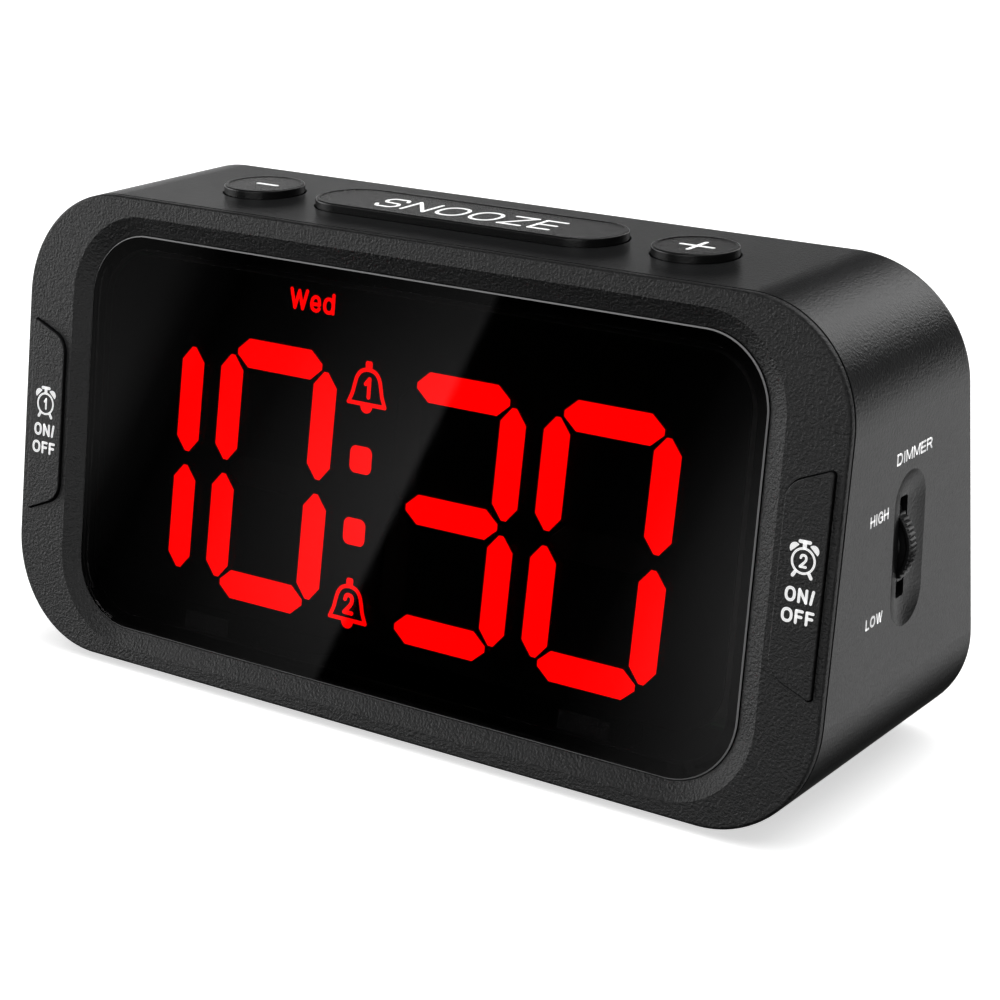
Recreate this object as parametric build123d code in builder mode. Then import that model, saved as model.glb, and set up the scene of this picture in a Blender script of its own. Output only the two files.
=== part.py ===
from build123d import *
import math
import os

# Compact LED alarm clock, millimetres.
# +X runs to the right along the display, +Y to the back, +Z up.
# The origin is on the table, under the middle of the case.

# ---------------------------------------------------------------- driving dimensions
WIDTH = 150.0          # case, side to side
HEIGHT = 74.5          # case, floor face to top face
DEPTH = 54.0           # case at its floor
LEAN = 8.0             # front leans back and back leans forward, degrees
CORNER = 17.5          # rounding of the four long edges
LIFT = 1.2             # rubber feet carry the case this high
WALL = 2.2
MOUTH = 1.4            # the rear housing starts this far behind the front face
BACK_EDGE = 1.5

RIM = 1.0              # visible edge thickness of the bezel
RIM_ROUND = 0.45
PLATE = 2.0            # bezel plate
FIT = 0.1              # play of the bezel's skirt in the housing
SKIRT_DEPTH = 6.5
SKIRT_WALL = 1.4

PANE = (124.06, 64.1)  # smoked window
PANE_CORNER = 10.9
PANE_MID = 37.4        # its centre, measured up the leaning front
PANE_FRONT = 0.9       # its face is this far behind the bezel face
PANE_THICK = 1.5
PANE_PLAY = 0.17
PANE_CHAMFER = 0.2
BEVEL = (130.6, 70.0)  # where the sloping surround meets the flat face
BEVEL_CORNER = 14.0
BEVEL_DEPTH = 1.2
TAPE = 0.25
LEDGE = 1.15           # lip that the tape sticks to
SIGHT = (119.6, 59.6)  # clear opening behind the window
SIGHT_CORNER = 9.0

BUTTON_X = 39.9        # minus and plus, either side of the middle
BUTTON_Y = -0.5
BUTTON_R = 6.45
BUTTON_RISE = 1.36
BAR = (55.3, 13.5)     # snooze bar, overall
BUTTON_GAP = 0.25
DISH = 0.06            # the printed marks lie this far below a cap's rim
DISH_RIM = 0.7
CAP_ROUND = 0.3
CAP_WALL = 1.4
STEM_R = 2.2           # post under a cap that pushes its switch
GUIDE_R = 1.5
FLANGE = 0.85
FLANGE_THICK = 1.0
STOP = 0.15            # rest gap between a flange and the wall that stops it

KEY_IN = 66.4          # alarm key, inner and outer side, from the middle
KEY_OUT = 73.4
KEY_LOW = 21.6         # outer corners, measured up the front
KEY_HIGH = 53.6
KEY_SLANT = 2.8        # how much shorter the inner side is at each end
KEY_CORNER = 3.5
KEY_RISE = 0.5
KEY_GAP = 0.2

SWITCH = (6.0, 6.0, 3.5)
PLUNGER_R = 1.6
PLUNGER_OUT = 1.0

DIMMER_Y = 0.1
DIMMER_Z = 38.2
SCOOP = (9.6, 23.0)    # stadium outline on the side wall
SCOOP_DEEP = 1.04
SLOT = (2.4, 15.0)
WHEEL_R = 7.2
WHEEL_THICK = 2.0
WHEEL_OUT = 1.07       # the wheel stands this far out of the side wall
WHEEL_TEETH = 52
SHAFT_R = 1.5

BOARD = 1.6            # circuit board thickness
BOX_FRONT = 3.05       # light box, depth behind the bezel face
BOX_BACK = 8.7
FILM = 0.2

DIGIT_MID = 35.3       # centre of the digits, measured up the front
DIGIT_X = (-50.7, -24.2, 10.5, 36.6)
DIGIT_SLANT = 1.5      # degrees
STROKE = 4.6
BAR_LENGTH = 16.8      # one segment, tip to tip
HALF_WIDE = 9.25       # centre of an upright segment from the digit's centre
HALF_TALL = 18.55      # centre of the top and bottom segments
UPRIGHT_MID = 9.5      # centre of an upright segment above or below the middle
TIP = 2.2
COLON_X = -7.0
COLON_Z = 5.6
COLON_SIZE = 4.25

MAIN_Y = 6.0           # front face of the main board
KEY_BOARD_Z = 64.5     # underside of the button board
JACK_X = 48.0
JACK_Z = 20.0
JACK_FLOOR = 22.6
REAR_KEYS = (-36.0, -20.0)
REAR_KEY_Z = 42.0
REAR_KEY_R = 3.5
REAR_KEY_RISE = 0.9
SOUNDER_X = 20.0
SOUNDER_Z = 40.0
SOUNDER_R = 7.0
SOUND_HOLE_R = 0.85

CELL_X = -30.0
CELL_Y = 5.0
CELL_R = 10.0
CELL_THICK = 3.2
DOOR_R = 12.8
DOOR_PLAY = 0.25
TAB_R = 14.4
TAB_WIDE = 6.0
DOOR_TURN = 60.0

FOOT_X = 50.0
FOOT_Y = 18.5
FOOT_R = 4.5
FOOT_SUNK = 0.5
CASE_SCREW_X = 36.0
CASE_SCREW_Y = -15.6
SCREW_RING_R = 3.9     # raised ring inside, round each case screw
SCREW_RING_TALL = 1.8
SCREW_SINK_R = 2.8     # counterbore for its head
SCREW_SINK = 2.0
SCREW_HOLE_R = 1.3
PILOT_R = 0.85         # hole that a self-tapping screw cuts into

CUP_TALL = 6.4         # cup over the backup cell
CUP_INSIDE = 5.4
CUP_EDGE = 2.2
CELL_SEAT = 1.5        # ledge round the cell, and its depth
JACK_POCKET = (14.5, 12.5, 2.5)
JACK_BLOCK = (19, 17, 3)
JACK_RUN = 8           # pocket and thickening run this far back
JACK_HOLE_R = 4.2
POST_R = 2.6
HOOK_X = (-46, 0, 46)

# ---------------------------------------------------------------- shared planes and shapes
lean = math.radians(LEAN)
TOP = LIFT + HEIGHT
FLOOR = LIFT + WALL
SIDE = WIDTH / 2
FRONT = Plane(
    origin=(0, -DEPTH / 2, LIFT),
    x_dir=(1, 0, 0),
    z_dir=(0, -math.cos(lean), math.sin(lean)),
)
BACK = Plane(
    origin=(0, DEPTH / 2, LIFT),
    x_dir=(-1, 0, 0),
    z_dir=(0, math.cos(lean), math.sin(lean)),
)
FRONT_AXIS = Axis(FRONT.origin, FRONT.z_dir)
BACK_AXIS = Axis(BACK.origin, BACK.z_dir)


def upright(y):
    """Plane facing the front, standing upright at the given Y."""
    return Plane.XZ.offset(-y)


def section_bar(inset):
    """Long bar with the case's rounded cross-section, inset all round."""
    with BuildPart() as bar:
        with BuildSketch(Plane.XZ):
            with Locations((0, LIFT + HEIGHT / 2)):
                RectangleRounded(WIDTH - 2 * inset, HEIGHT - 2 * inset, CORNER - inset)
        extrude(amount=DEPTH, both=True)
    return bar.part


def front_slab(inset, near, far):
    """Slice of the case's cross-section between two depths behind the front face."""
    with BuildPart() as slab:
        add(section_bar(inset))
        split(bisect_by=FRONT.offset(-near), keep=Keep.BOTTOM)
        split(bisect_by=FRONT.offset(-far), keep=Keep.TOP)
    return slab.part


def key_profile(side, margin):
    """Flat-sided D of an alarm key, its straight side outwards, grown by a margin."""
    inner_low = KEY_LOW + KEY_SLANT
    inner_high = KEY_HIGH - KEY_SLANT
    with BuildSketch() as profile:
        with BuildLine():
            Polyline(
                (side * KEY_OUT, KEY_LOW),
                (side * KEY_OUT, KEY_HIGH),
                (side * KEY_IN, inner_high),
                (side * KEY_IN, inner_low),
                close=True,
            )
        make_face()
        fillet(profile.vertices().group_by(Axis.X)[0 if side > 0 else -1], KEY_CORNER)
        fillet(profile.vertices().group_by(Axis.X)[-1 if side > 0 else 0], 0.5)
        if margin:
            offset(amount=margin)
    return profile.sketch


def segment(length, stroke):
    """One display segment lying along X, with a blunt point at each end."""
    half = stroke / 2
    blunt = 0.45
    with BuildSketch() as shape:
        with BuildLine():
            Polyline(
                (-length / 2, -blunt),
                (-length / 2, blunt),
                (-length / 2 + TIP, half),
                (length / 2 - TIP, half),
                (length / 2, blunt),
                (length / 2, -blunt),
                (length / 2 - TIP, -half),
                (-length / 2 + TIP, -half),
                close=True,
            )
        make_face()
    return shape.sketch


def leaned(x, z):
    """Where a point of an upright digit goes once the digit is slanted."""
    return (x + z * math.tan(math.radians(DIGIT_SLANT)), z)


SEGMENT_PLACES = {
    "a": (0, HALF_TALL, 0),
    "b": (HALF_WIDE, UPRIGHT_MID, 90),
    "c": (HALF_WIDE, -UPRIGHT_MID, 90),
    "d": (0, -HALF_TALL, 0),
    "e": (-HALF_WIDE, -UPRIGHT_MID, 90),
    "f": (-HALF_WIDE, UPRIGHT_MID, 90),
    "g": (0, 0, 0),
}
DIGITS_SHOWN = ("bc", "abcdef", "abcdg", "abcdef")
DIGITS_FITTED = ("bc", "abcdefg", "abcdefg", "abcdefg")


def digit_sketch(letters, margin):
    """All chosen segments of the four digits on the display, grown by a margin."""
    with BuildSketch() as face:
        for centre, chosen in zip(DIGIT_X, letters):
            for letter in chosen:
                x, z, turn = SEGMENT_PLACES[letter]
                dx, dz = leaned(x, z)
                tilt = turn - DIGIT_SLANT if turn else 0
                with Locations((centre + dx, DIGIT_MID + dz)):
                    add(segment(BAR_LENGTH, STROKE), rotation=tilt)
        if margin:
            offset(amount=margin)
    return face.sketch


def colon_sketch(margin):
    """The two rounded squares between hours and minutes."""
    size = COLON_SIZE + 2 * margin
    with BuildSketch() as dots:
        for z in (COLON_Z, -COLON_Z):
            dx, dz = leaned(0, z)
            with Locations((COLON_X + dx, DIGIT_MID + dz)):
                RectangleRounded(size, size, 1.1)
    return dots.sketch


DAY_X = [-44.5 + 13.2 * day for day in range(7)]
DAY_Z = 63.5
BELL_SPOTS = ((-6.4, 52.1), (-7.2, 18.5))


def legend_sketch(margin):
    """Light windows behind the seven day names and the two bells."""
    with BuildSketch() as windows:
        with Locations(*[(x, DAY_Z) for x in DAY_X]):
            Rectangle(10.4 + 2 * margin, 4.6 + 2 * margin)
        with Locations(*BELL_SPOTS):
            Rectangle(8.4 + 2 * margin, 8.8 + 2 * margin)
    return windows.sketch


def pan_screw(head_r, head_tall, thread_r, length):
    """Pan-head screw with a cross recess; its head rests on Z = 0, thread down."""
    with BuildPart() as screw:
        Cylinder(head_r, head_tall, align=(Align.CENTER, Align.CENTER, Align.MIN))
        fillet(screw.edges().group_by(Axis.Z)[-1], head_tall * 0.45)
        with Locations((0, 0, 0)):
            Cylinder(thread_r, length, align=(Align.CENTER, Align.CENTER, Align.MAX))
        chamfer(screw.faces().sort_by(Axis.Z)[0].edges(), thread_r * 0.45)
        with BuildSketch(Plane.XY.offset(head_tall)):
            Rectangle(head_r * 1.15, head_r * 0.26)
            Rectangle(head_r * 0.26, head_r * 1.15)
        extrude(amount=-head_tall * 0.55, mode=Mode.SUBTRACT)
    return screw.part


def tact_switch():
    """Square push switch standing on Z = 0, open at the top for its plunger."""
    wide, deep, tall = SWITCH
    with BuildPart() as switch:
        with BuildSketch():
            RectangleRounded(wide, deep, 0.4)
        extrude(amount=tall)
        chamfer(switch.faces().sort_by(Axis.Z)[-1].outer_wire().edges(), 0.25)
        with BuildSketch(Plane.XY.offset(tall)):
            Circle(PLUNGER_R + 0.05)
        extrude(amount=-tall + 0.8, mode=Mode.SUBTRACT)
    return switch.part


def switch_plunger():
    """Round plunger of a push switch, standing out of the body at rest."""
    tall = SWITCH[2]
    with BuildPart() as plunger:
        with BuildSketch(Plane.XY.offset(tall - 1.4)):
            Circle(PLUNGER_R)
        extrude(amount=1.4 + PLUNGER_OUT)
        chamfer(plunger.faces().sort_by(Axis.Z)[-1].edges(), 0.2)
    return plunger.part


def save(piece, label):
    """Label a finished sub-part and write it as its own STEP file."""
    piece.part.label = label
    export_step(piece.part, f"parts/{label}.step")


os.makedirs("parts", exist_ok=True)

outer_bar = section_bar(0)
inner_bar = section_bar(WALL)
switch_body = tact_switch()
plunger_body = switch_plunger()
large_screw = pan_screw(2.3, 1.5, 1.1, 6.8)
small_screw = pan_screw(1.7, 1.1, 0.8, 4.5)

PANE_BACK = PANE_FRONT + PANE_THICK
TAPE_BACK = PANE_BACK + TAPE
LEDGE_BACK = TAPE_BACK + LEDGE

main_bosses = [(-45, 17), (-45, 55), (64, 21), (62, 55)]
top_bosses = [(-53, 3, 2.4), (53, 3, 2.4), (-30.55, BUTTON_Y, 1.7), (30.55, BUTTON_Y, 1.7)]
display_bosses = [(-67.5, 16.2), (67.5, 16.2), (-67.5, 59.4), (67.5, 59.4)]
feet_places = [(x, y) for x in (-FOOT_X, FOOT_X) for y in (-FOOT_Y, FOOT_Y)]
case_screw_places = [(-CASE_SCREW_X, CASE_SCREW_Y), (CASE_SCREW_X, CASE_SCREW_Y)]

# ---------------------------------------------------------------- rear housing
# One moulding: top, sides, floor and back, open towards the bezel.
with BuildPart() as cavity:
    add(inner_bar)
    split(bisect_by=BACK.offset(-WALL), keep=Keep.BOTTOM)

# Thickening behind the jack, kept inside the leaning back wall.
with BuildPart() as jack_block:
    with BuildSketch(upright(JACK_FLOOR - WALL)):
        with Locations((JACK_X, JACK_Z)):
            RectangleRounded(*JACK_BLOCK)
    extrude(amount=-JACK_RUN)
    split(bisect_by=BACK.offset(-WALL / 2), keep=Keep.BOTTOM)

# Posts for the main board, rooted in the back wall.
with BuildPart() as board_posts:
    with BuildSketch(upright(MAIN_Y + BOARD)):
        with Locations(*main_bosses):
            Circle(POST_R)
    extrude(amount=-DEPTH / 2)
    split(bisect_by=BACK.offset(-WALL / 2), keep=Keep.BOTTOM)

with BuildPart() as rear_housing:
    add(outer_bar)
    split(bisect_by=FRONT.offset(-MOUTH), keep=Keep.BOTTOM)
    split(bisect_by=BACK, keep=Keep.BOTTOM)
    fillet(rear_housing.faces().sort_by(BACK_AXIS)[-1].edges(), BACK_EDGE)
    add(cavity.part, mode=Mode.SUBTRACT)
    add(jack_block.part)
    add(board_posts.part)
    # Bosses that the button board hangs from.
    with BuildSketch(Plane.XY.offset(KEY_BOARD_Z + BOARD)):
        for x, y, radius in top_bosses:
            with Locations((x, y)):
                Circle(radius)
    extrude(amount=TOP - WALL / 2 - KEY_BOARD_Z - BOARD)
    # Raised rings round the two case screws, and the cup over the backup cell.
    with BuildSketch(Plane.XY.offset(FLOOR - WALL / 2)):
        with Locations(*case_screw_places):
            Circle(SCREW_RING_R)
    extrude(amount=WALL / 2 + SCREW_RING_TALL)
    with BuildSketch(Plane.XY.offset(FLOOR - WALL / 2)):
        with Locations((CELL_X, CELL_Y)):
            Circle(TAB_R + CUP_EDGE)
    extrude(amount=WALL / 2 + CUP_TALL)
    with BuildSketch(Plane.XY.offset(FLOOR)):
        with Locations((CELL_X, CELL_Y)):
            Circle(TAB_R + 0.8)
            Circle(CELL_R + CELL_SEAT, mode=Mode.SUBTRACT)
    extrude(amount=CUP_INSIDE, mode=Mode.SUBTRACT)
    with BuildSketch(Plane.XY.offset(FLOOR)):
        with Locations((CELL_X, CELL_Y)):
            Circle(CELL_R + CELL_SEAT)
    extrude(amount=CELL_SEAT, mode=Mode.SUBTRACT)
    with BuildSketch(Plane.XY.offset(FLOOR)):
        with Locations((CELL_X, CELL_Y)):
            Circle(CELL_R + 0.3)
    extrude(amount=CUP_INSIDE, mode=Mode.SUBTRACT)
    # Opening of the cell door, with two notches that let its tabs in.
    with BuildSketch(Plane.XY.offset(LIFT)):
        with Locations((CELL_X, CELL_Y)):
            Circle(DOOR_R + DOOR_PLAY)
        with Locations(Location((CELL_X, CELL_Y, 0), (0, 0, DOOR_TURN))):
            SlotOverall(2 * (TAB_R + 0.4), TAB_WIDE + 1.0)
    extrude(amount=WALL, mode=Mode.SUBTRACT)
    # Recesses for the feet.
    with BuildSketch(Plane.XY.offset(LIFT)):
        with Locations(*feet_places):
            Circle(FOOT_R + 0.1)
    extrude(amount=FOOT_SUNK, mode=Mode.SUBTRACT)
    # Counterbores and holes of the case screws.
    with BuildSketch(Plane.XY.offset(LIFT)):
        with Locations(*case_screw_places):
            Circle(SCREW_SINK_R)
    extrude(amount=SCREW_SINK, mode=Mode.SUBTRACT)
    with BuildSketch(Plane.XY.offset(LIFT)):
        with Locations(*case_screw_places):
            Circle(SCREW_HOLE_R)
    extrude(amount=6.0, mode=Mode.SUBTRACT)
    # Openings for minus, snooze and plus.
    with BuildSketch(Plane.XY.offset(TOP)):
        with Locations((-BUTTON_X, BUTTON_Y), (BUTTON_X, BUTTON_Y)):
            Circle(BUTTON_R + BUTTON_GAP)
        with Locations((0, BUTTON_Y)):
            SlotOverall(BAR[0] + 2 * BUTTON_GAP, BAR[1] + 2 * BUTTON_GAP)
    extrude(amount=-WALL, mode=Mode.SUBTRACT)
    # Scooped recess of the dimmer: a round-nosed cutter leaves a stadium outline.
    scoop_r = (SCOOP[0] ** 2 / 4 + SCOOP_DEEP ** 2) / (2 * SCOOP_DEEP)
    scoop_x = SIDE + scoop_r - SCOOP_DEEP
    scoop_run = SCOOP[1] - SCOOP[0]
    with Locations((scoop_x, DIMMER_Y, DIMMER_Z)):
        Cylinder(scoop_r, scoop_run, mode=Mode.SUBTRACT)
    with Locations(*[(scoop_x, DIMMER_Y, DIMMER_Z + s * scoop_run / 2) for s in (-1, 1)]):
        Sphere(scoop_r, mode=Mode.SUBTRACT)
    with BuildSketch(Plane.YZ.offset(SIDE)):
        with Locations((DIMMER_Y, DIMMER_Z)):
            RectangleRounded(SLOT[0], SLOT[1], 0.5)
    extrude(amount=-WALL - 0.5, mode=Mode.SUBTRACT)
    # Upright pocket and hole of the power inlet.
    with BuildSketch(upright(JACK_FLOOR)):
        with Locations((JACK_X, JACK_Z)):
            RectangleRounded(*JACK_POCKET)
    extrude(amount=-JACK_RUN, mode=Mode.SUBTRACT)
    with BuildSketch(upright(JACK_FLOOR)):
        with Locations((JACK_X, JACK_Z)):
            Circle(JACK_HOLE_R)
    extrude(amount=WALL + 0.5, mode=Mode.SUBTRACT)
    # Holes of the two rear keys and of the sounder.
    with BuildSketch(upright(MAIN_Y + BOARD + 8)):
        with Locations(*[(x, REAR_KEY_Z) for x in REAR_KEYS]):
            Circle(REAR_KEY_R + BUTTON_GAP)
        with Locations((SOUNDER_X, SOUNDER_Z)):
            Circle(SOUND_HOLE_R)
            with PolarLocations(2.6, 6):
                Circle(SOUND_HOLE_R)
            with PolarLocations(5.2, 12):
                Circle(SOUND_HOLE_R)
    extrude(amount=-12, mode=Mode.SUBTRACT)
    # Pilot holes in the board posts and in the hanging bosses.
    with BuildSketch(upright(MAIN_Y + BOARD)):
        with Locations(*main_bosses):
            Circle(PILOT_R)
    extrude(amount=-5.5, mode=Mode.SUBTRACT)
    with BuildSketch(Plane.XY.offset(KEY_BOARD_Z + BOARD)):
        with Locations(*[(x, y) for x, y, radius in top_bosses]):
            Circle(PILOT_R)
    extrude(amount=5.0, mode=Mode.SUBTRACT)
    # Reliefs in the side walls behind the outer edges of the alarm keys.
    with BuildSketch(FRONT.offset(-4.2)):
        with Locations(*[(side * 71.0, 37.6) for side in (-1, 1)]):
            Rectangle(6.0, 35.4)
    extrude(amount=3.2, mode=Mode.SUBTRACT)
    # Snap pockets for the bezel's three hooks.
    with Locations(*[(x, -11.8, TOP - WALL) for x in HOOK_X]):
        Box(10.6, 1.8, 1.4, mode=Mode.SUBTRACT)
save(rear_housing, "rear_housing")

# ---------------------------------------------------------------- front bezel
# Frame round the window: full-size rim, plate, skirt, window ledge, board posts.
with BuildPart() as skirt:
    add(front_slab(WALL + FIT, 0.5, SKIRT_DEPTH))
    add(section_bar(WALL + FIT + SKIRT_WALL), mode=Mode.SUBTRACT)
    with Locations((0, 0, LIFT + HEIGHT / 2)):
        Box(2 * WIDTH, 2 * DEPTH, 44, mode=Mode.SUBTRACT)

# Ears with the threads for the case screws.
with BuildPart() as ears:
    with Locations(*[(x, y - 2.85, FLOOR + 1.95 + 2.9) for x, y in case_screw_places]):
        Box(9, 11.5, 5.8)
    split(bisect_by=FRONT.offset(-PANE_BACK - 0.5), keep=Keep.BOTTOM)

left_key_hole = key_profile(-1, KEY_GAP)
right_key_hole = key_profile(1, KEY_GAP)

with BuildPart() as front_bezel:
    add(front_slab(0, 0, DEPTH / 4))
    fillet(front_bezel.faces().sort_by(FRONT_AXIS)[-1].edges(), RIM_ROUND)
    split(bisect_by=FRONT.offset(-RIM), keep=Keep.TOP)
    add(front_slab(WALL + FIT, RIM / 2, PLATE))
    add(skirt.part)
    with BuildSketch(FRONT.offset(-LEDGE_BACK)):
        with Locations((0, PANE_MID)):
            RectangleRounded(PANE[0] + 4.4, PANE[1] + 4.4, PANE_CORNER + 2.2)
    extrude(amount=LEDGE_BACK - RIM / 2)
    with BuildSketch(FRONT.offset(-BOX_BACK)):
        with Locations(*display_bosses):
            Circle(2.5)
    extrude(amount=BOX_BACK - PLATE / 2)
    add(ears.part)
    with Locations(*[(x, -11.8, TOP - WALL - 0.4) for x in HOOK_X]):
        Box(10, 1.2, 1.4)
    # Sloping surround, window pocket and clear opening.
    with BuildSketch(FRONT):
        with Locations((0, PANE_MID)):
            RectangleRounded(BEVEL[0], BEVEL[1], BEVEL_CORNER)
    with BuildSketch(FRONT.offset(-BEVEL_DEPTH)):
        with Locations((0, PANE_MID)):
            RectangleRounded(PANE[0] + 2 * PANE_PLAY, PANE[1] + 2 * PANE_PLAY, PANE_CORNER + PANE_PLAY)
    loft(mode=Mode.SUBTRACT)
    with BuildSketch(FRONT.offset(-TAPE_BACK)):
        with Locations((0, PANE_MID)):
            RectangleRounded(PANE[0] + 2 * PANE_PLAY, PANE[1] + 2 * PANE_PLAY, PANE_CORNER + PANE_PLAY)
    extrude(amount=TAPE_BACK - BEVEL_DEPTH / 2, mode=Mode.SUBTRACT)
    with BuildSketch(FRONT.offset(-LEDGE_BACK)):
        with Locations((0, PANE_MID)):
            RectangleRounded(SIGHT[0], SIGHT[1], SIGHT_CORNER)
    extrude(amount=LEDGE_BACK, mode=Mode.SUBTRACT)
    # Openings for the alarm keys.
    with BuildSketch(FRONT.offset(-PLATE)):
        add(left_key_hole)
        add(right_key_hole)
    extrude(amount=PLATE + 1, mode=Mode.SUBTRACT)
    # Threads in the board posts and in the ears.
    with BuildSketch(FRONT.offset(-BOX_BACK)):
        with Locations(*display_bosses):
            Circle(PILOT_R)
    extrude(amount=5, mode=Mode.SUBTRACT)
    with BuildSketch(Plane.XY.offset(FLOOR + 1.9)):
        with Locations(*case_screw_places):
            Circle(1.15)
    extrude(amount=5.0, mode=Mode.SUBTRACT)
save(front_bezel, "front_bezel")

# ---------------------------------------------------------------- window and its tape
with BuildPart() as display_window:
    with BuildSketch(FRONT.offset(-PANE_BACK)):
        with Locations((0, PANE_MID)):
            RectangleRounded(PANE[0], PANE[1], PANE_CORNER)
    extrude(amount=PANE_THICK)
    chamfer(display_window.faces().sort_by(FRONT_AXIS)[-1].edges(), PANE_CHAMFER)
save(display_window, "display_window")

with BuildPart() as window_tape:
    with BuildSketch(FRONT.offset(-TAPE_BACK)):
        with Locations((0, PANE_MID)):
            RectangleRounded(PANE[0] - 0.4, PANE[1] - 0.4, PANE_CORNER - 0.2)
            RectangleRounded(SIGHT[0] + 0.4, SIGHT[1] + 0.4, SIGHT_CORNER + 0.2, mode=Mode.SUBTRACT)
    extrude(amount=TAPE)
save(window_tape, "window_tape")

# ---------------------------------------------------------------- display stack
# Printed film, light box with its pockets, segment lenses, lamps and board.
pockets = digit_sketch(DIGITS_FITTED, 0)
colon_pockets = colon_sketch(0)
legend_pockets = legend_sketch(0)
BOX_SIZE = (117.6, 54.4)
BOX_MID = 39.2
BOX_CORNER = 8.0

with BuildPart() as legend_film:
    with BuildSketch(FRONT.offset(-BOX_FRONT)):
        with Locations((0, BOX_MID)):
            RectangleRounded(BOX_SIZE[0], BOX_SIZE[1], BOX_CORNER)
        add(pockets, mode=Mode.SUBTRACT)
        add(colon_pockets, mode=Mode.SUBTRACT)
    extrude(amount=FILM)
save(legend_film, "legend_film")

with BuildPart() as light_box:
    with BuildSketch(FRONT.offset(-BOX_BACK)):
        with Locations((0, BOX_MID)):
            RectangleRounded(BOX_SIZE[0], BOX_SIZE[1], BOX_CORNER)
        add(pockets, mode=Mode.SUBTRACT)
        add(colon_pockets, mode=Mode.SUBTRACT)
        add(legend_pockets, mode=Mode.SUBTRACT)
    extrude(amount=BOX_BACK - BOX_FRONT)
save(light_box, "light_box")

LENS = 1.2
LENS_PLAY = -0.04
lit_outline = digit_sketch(DIGITS_SHOWN, LENS_PLAY)
colon_outline = colon_sketch(LENS_PLAY)
dark_letters = [
    "".join(letter for letter in fitted if letter not in shown)
    for fitted, shown in zip(DIGITS_FITTED, DIGITS_SHOWN)
]
dark_outline = digit_sketch(dark_letters, LENS_PLAY)
legend_outline = legend_sketch(LENS_PLAY)

with BuildPart() as segments_lit:
    with BuildSketch(FRONT.offset(-BOX_FRONT - LENS)):
        add(lit_outline)
        add(colon_outline)
    extrude(amount=LENS + FILM / 2)
save(segments_lit, "segments_lit")

with BuildPart() as segments_dark:
    with BuildSketch(FRONT.offset(-BOX_FRONT - LENS)):
        add(dark_outline)
    extrude(amount=LENS + FILM / 2)
save(segments_dark, "segments_dark")

with BuildPart() as legend_lenses:
    with BuildSketch(FRONT.offset(-BOX_FRONT - LENS)):
        add(legend_outline)
    extrude(amount=LENS)
save(legend_lenses, "legend_lenses")

# Two lamps stand in each segment's pocket, one in each dot, bell and day window.
lamp_places = []
for centre, chosen in zip(DIGIT_X, DIGITS_FITTED):
    for letter in chosen:
        x, z, turn = SEGMENT_PLACES[letter]
        for along in (-4.2, 4.2):
            dx, dz = leaned(x + (0 if turn else along), z + (along if turn else 0))
            lamp_places.append((centre + dx, DIGIT_MID + dz))
lamp_places += [(COLON_X, DIGIT_MID + z) for z in (COLON_Z, -COLON_Z)]
lamp_places += [(x, DAY_Z) for x in DAY_X]
lamp_places += list(BELL_SPOTS)

with BuildPart() as display_lamps:
    with BuildSketch(FRONT.offset(-BOX_BACK)):
        with Locations(*lamp_places):
            Rectangle(2.0, 1.25)
    extrude(amount=0.8)
save(display_lamps, "display_lamps")

DISPLAY_BOARD = (141.0, 54.0)
DISPLAY_BOARD_MID = 39.0
DISPLAY_BOARD_BACK = BOX_BACK + BOARD
with BuildPart() as display_board:
    with BuildSketch(FRONT.offset(-DISPLAY_BOARD_BACK)):
        with Locations((0, DISPLAY_BOARD_MID)):
            RectangleRounded(DISPLAY_BOARD[0], DISPLAY_BOARD[1], 3.5)
        with Locations(*display_bosses):
            Circle(1.1, mode=Mode.SUBTRACT)
    extrude(amount=BOARD)
save(display_board, "display_board")

with BuildPart() as display_screws:
    for u, v in display_bosses:
        place = FRONT.offset(-DISPLAY_BOARD_BACK) * Pos(u, v, 0) * Rot(180, 0, 0)
        with Locations(place):
            add(small_screw)
save(display_screws, "display_screws")

# ---------------------------------------------------------------- alarm keys
KEY_SWITCH_U = 67.4
KEY_SWITCH_V = 37.6
KEY_BACK = PLATE + STOP
STEM_END = BOX_BACK - SWITCH[2] - PLUNGER_OUT

for side, number in ((-1, 1), (1, 2)):
    face_outline = key_profile(side, 0)
    with BuildPart() as alarm_key:
        with BuildSketch(FRONT.offset(-KEY_BACK)):
            add(face_outline)
        extrude(amount=KEY_BACK + KEY_RISE)
        fillet(alarm_key.faces().sort_by(FRONT_AXIS)[-1].edges(), 0.2)
        # Flange behind the plate, kept clear of the outer wall.
        with BuildSketch(FRONT.offset(-KEY_BACK - 0.9)):
            with Locations((side * 69.0, KEY_SWITCH_V)):
                RectangleRounded(7.4, 33.2, 1.0)
        extrude(amount=0.9)
        with BuildSketch(FRONT.offset(-STEM_END)):
            with Locations((side * KEY_SWITCH_U, KEY_SWITCH_V)):
                Circle(1.8)
        extrude(amount=STEM_END - KEY_BACK)
    save(alarm_key, f"alarm_{number}_key")

with BuildPart() as alarm_switches:
    for side in (-1, 1):
        with Locations(FRONT.offset(-BOX_BACK) * Pos(side * KEY_SWITCH_U, KEY_SWITCH_V, 0)):
            add(switch_body)
save(alarm_switches, "alarm_switches")

for side, number in ((-1, 1), (1, 2)):
    with BuildPart() as alarm_plunger:
        with Locations(FRONT.offset(-BOX_BACK) * Pos(side * KEY_SWITCH_U, KEY_SWITCH_V, 0)):
            add(plunger_body)
    save(alarm_plunger, f"alarm_{number}_plunger")

# ---------------------------------------------------------------- top buttons
FLANGE_TOP = TOP - WALL - STOP
BOARD_TOP = KEY_BOARD_Z + BOARD
TOP_STEM_END = BOARD_TOP + SWITCH[2] + PLUNGER_OUT

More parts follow.
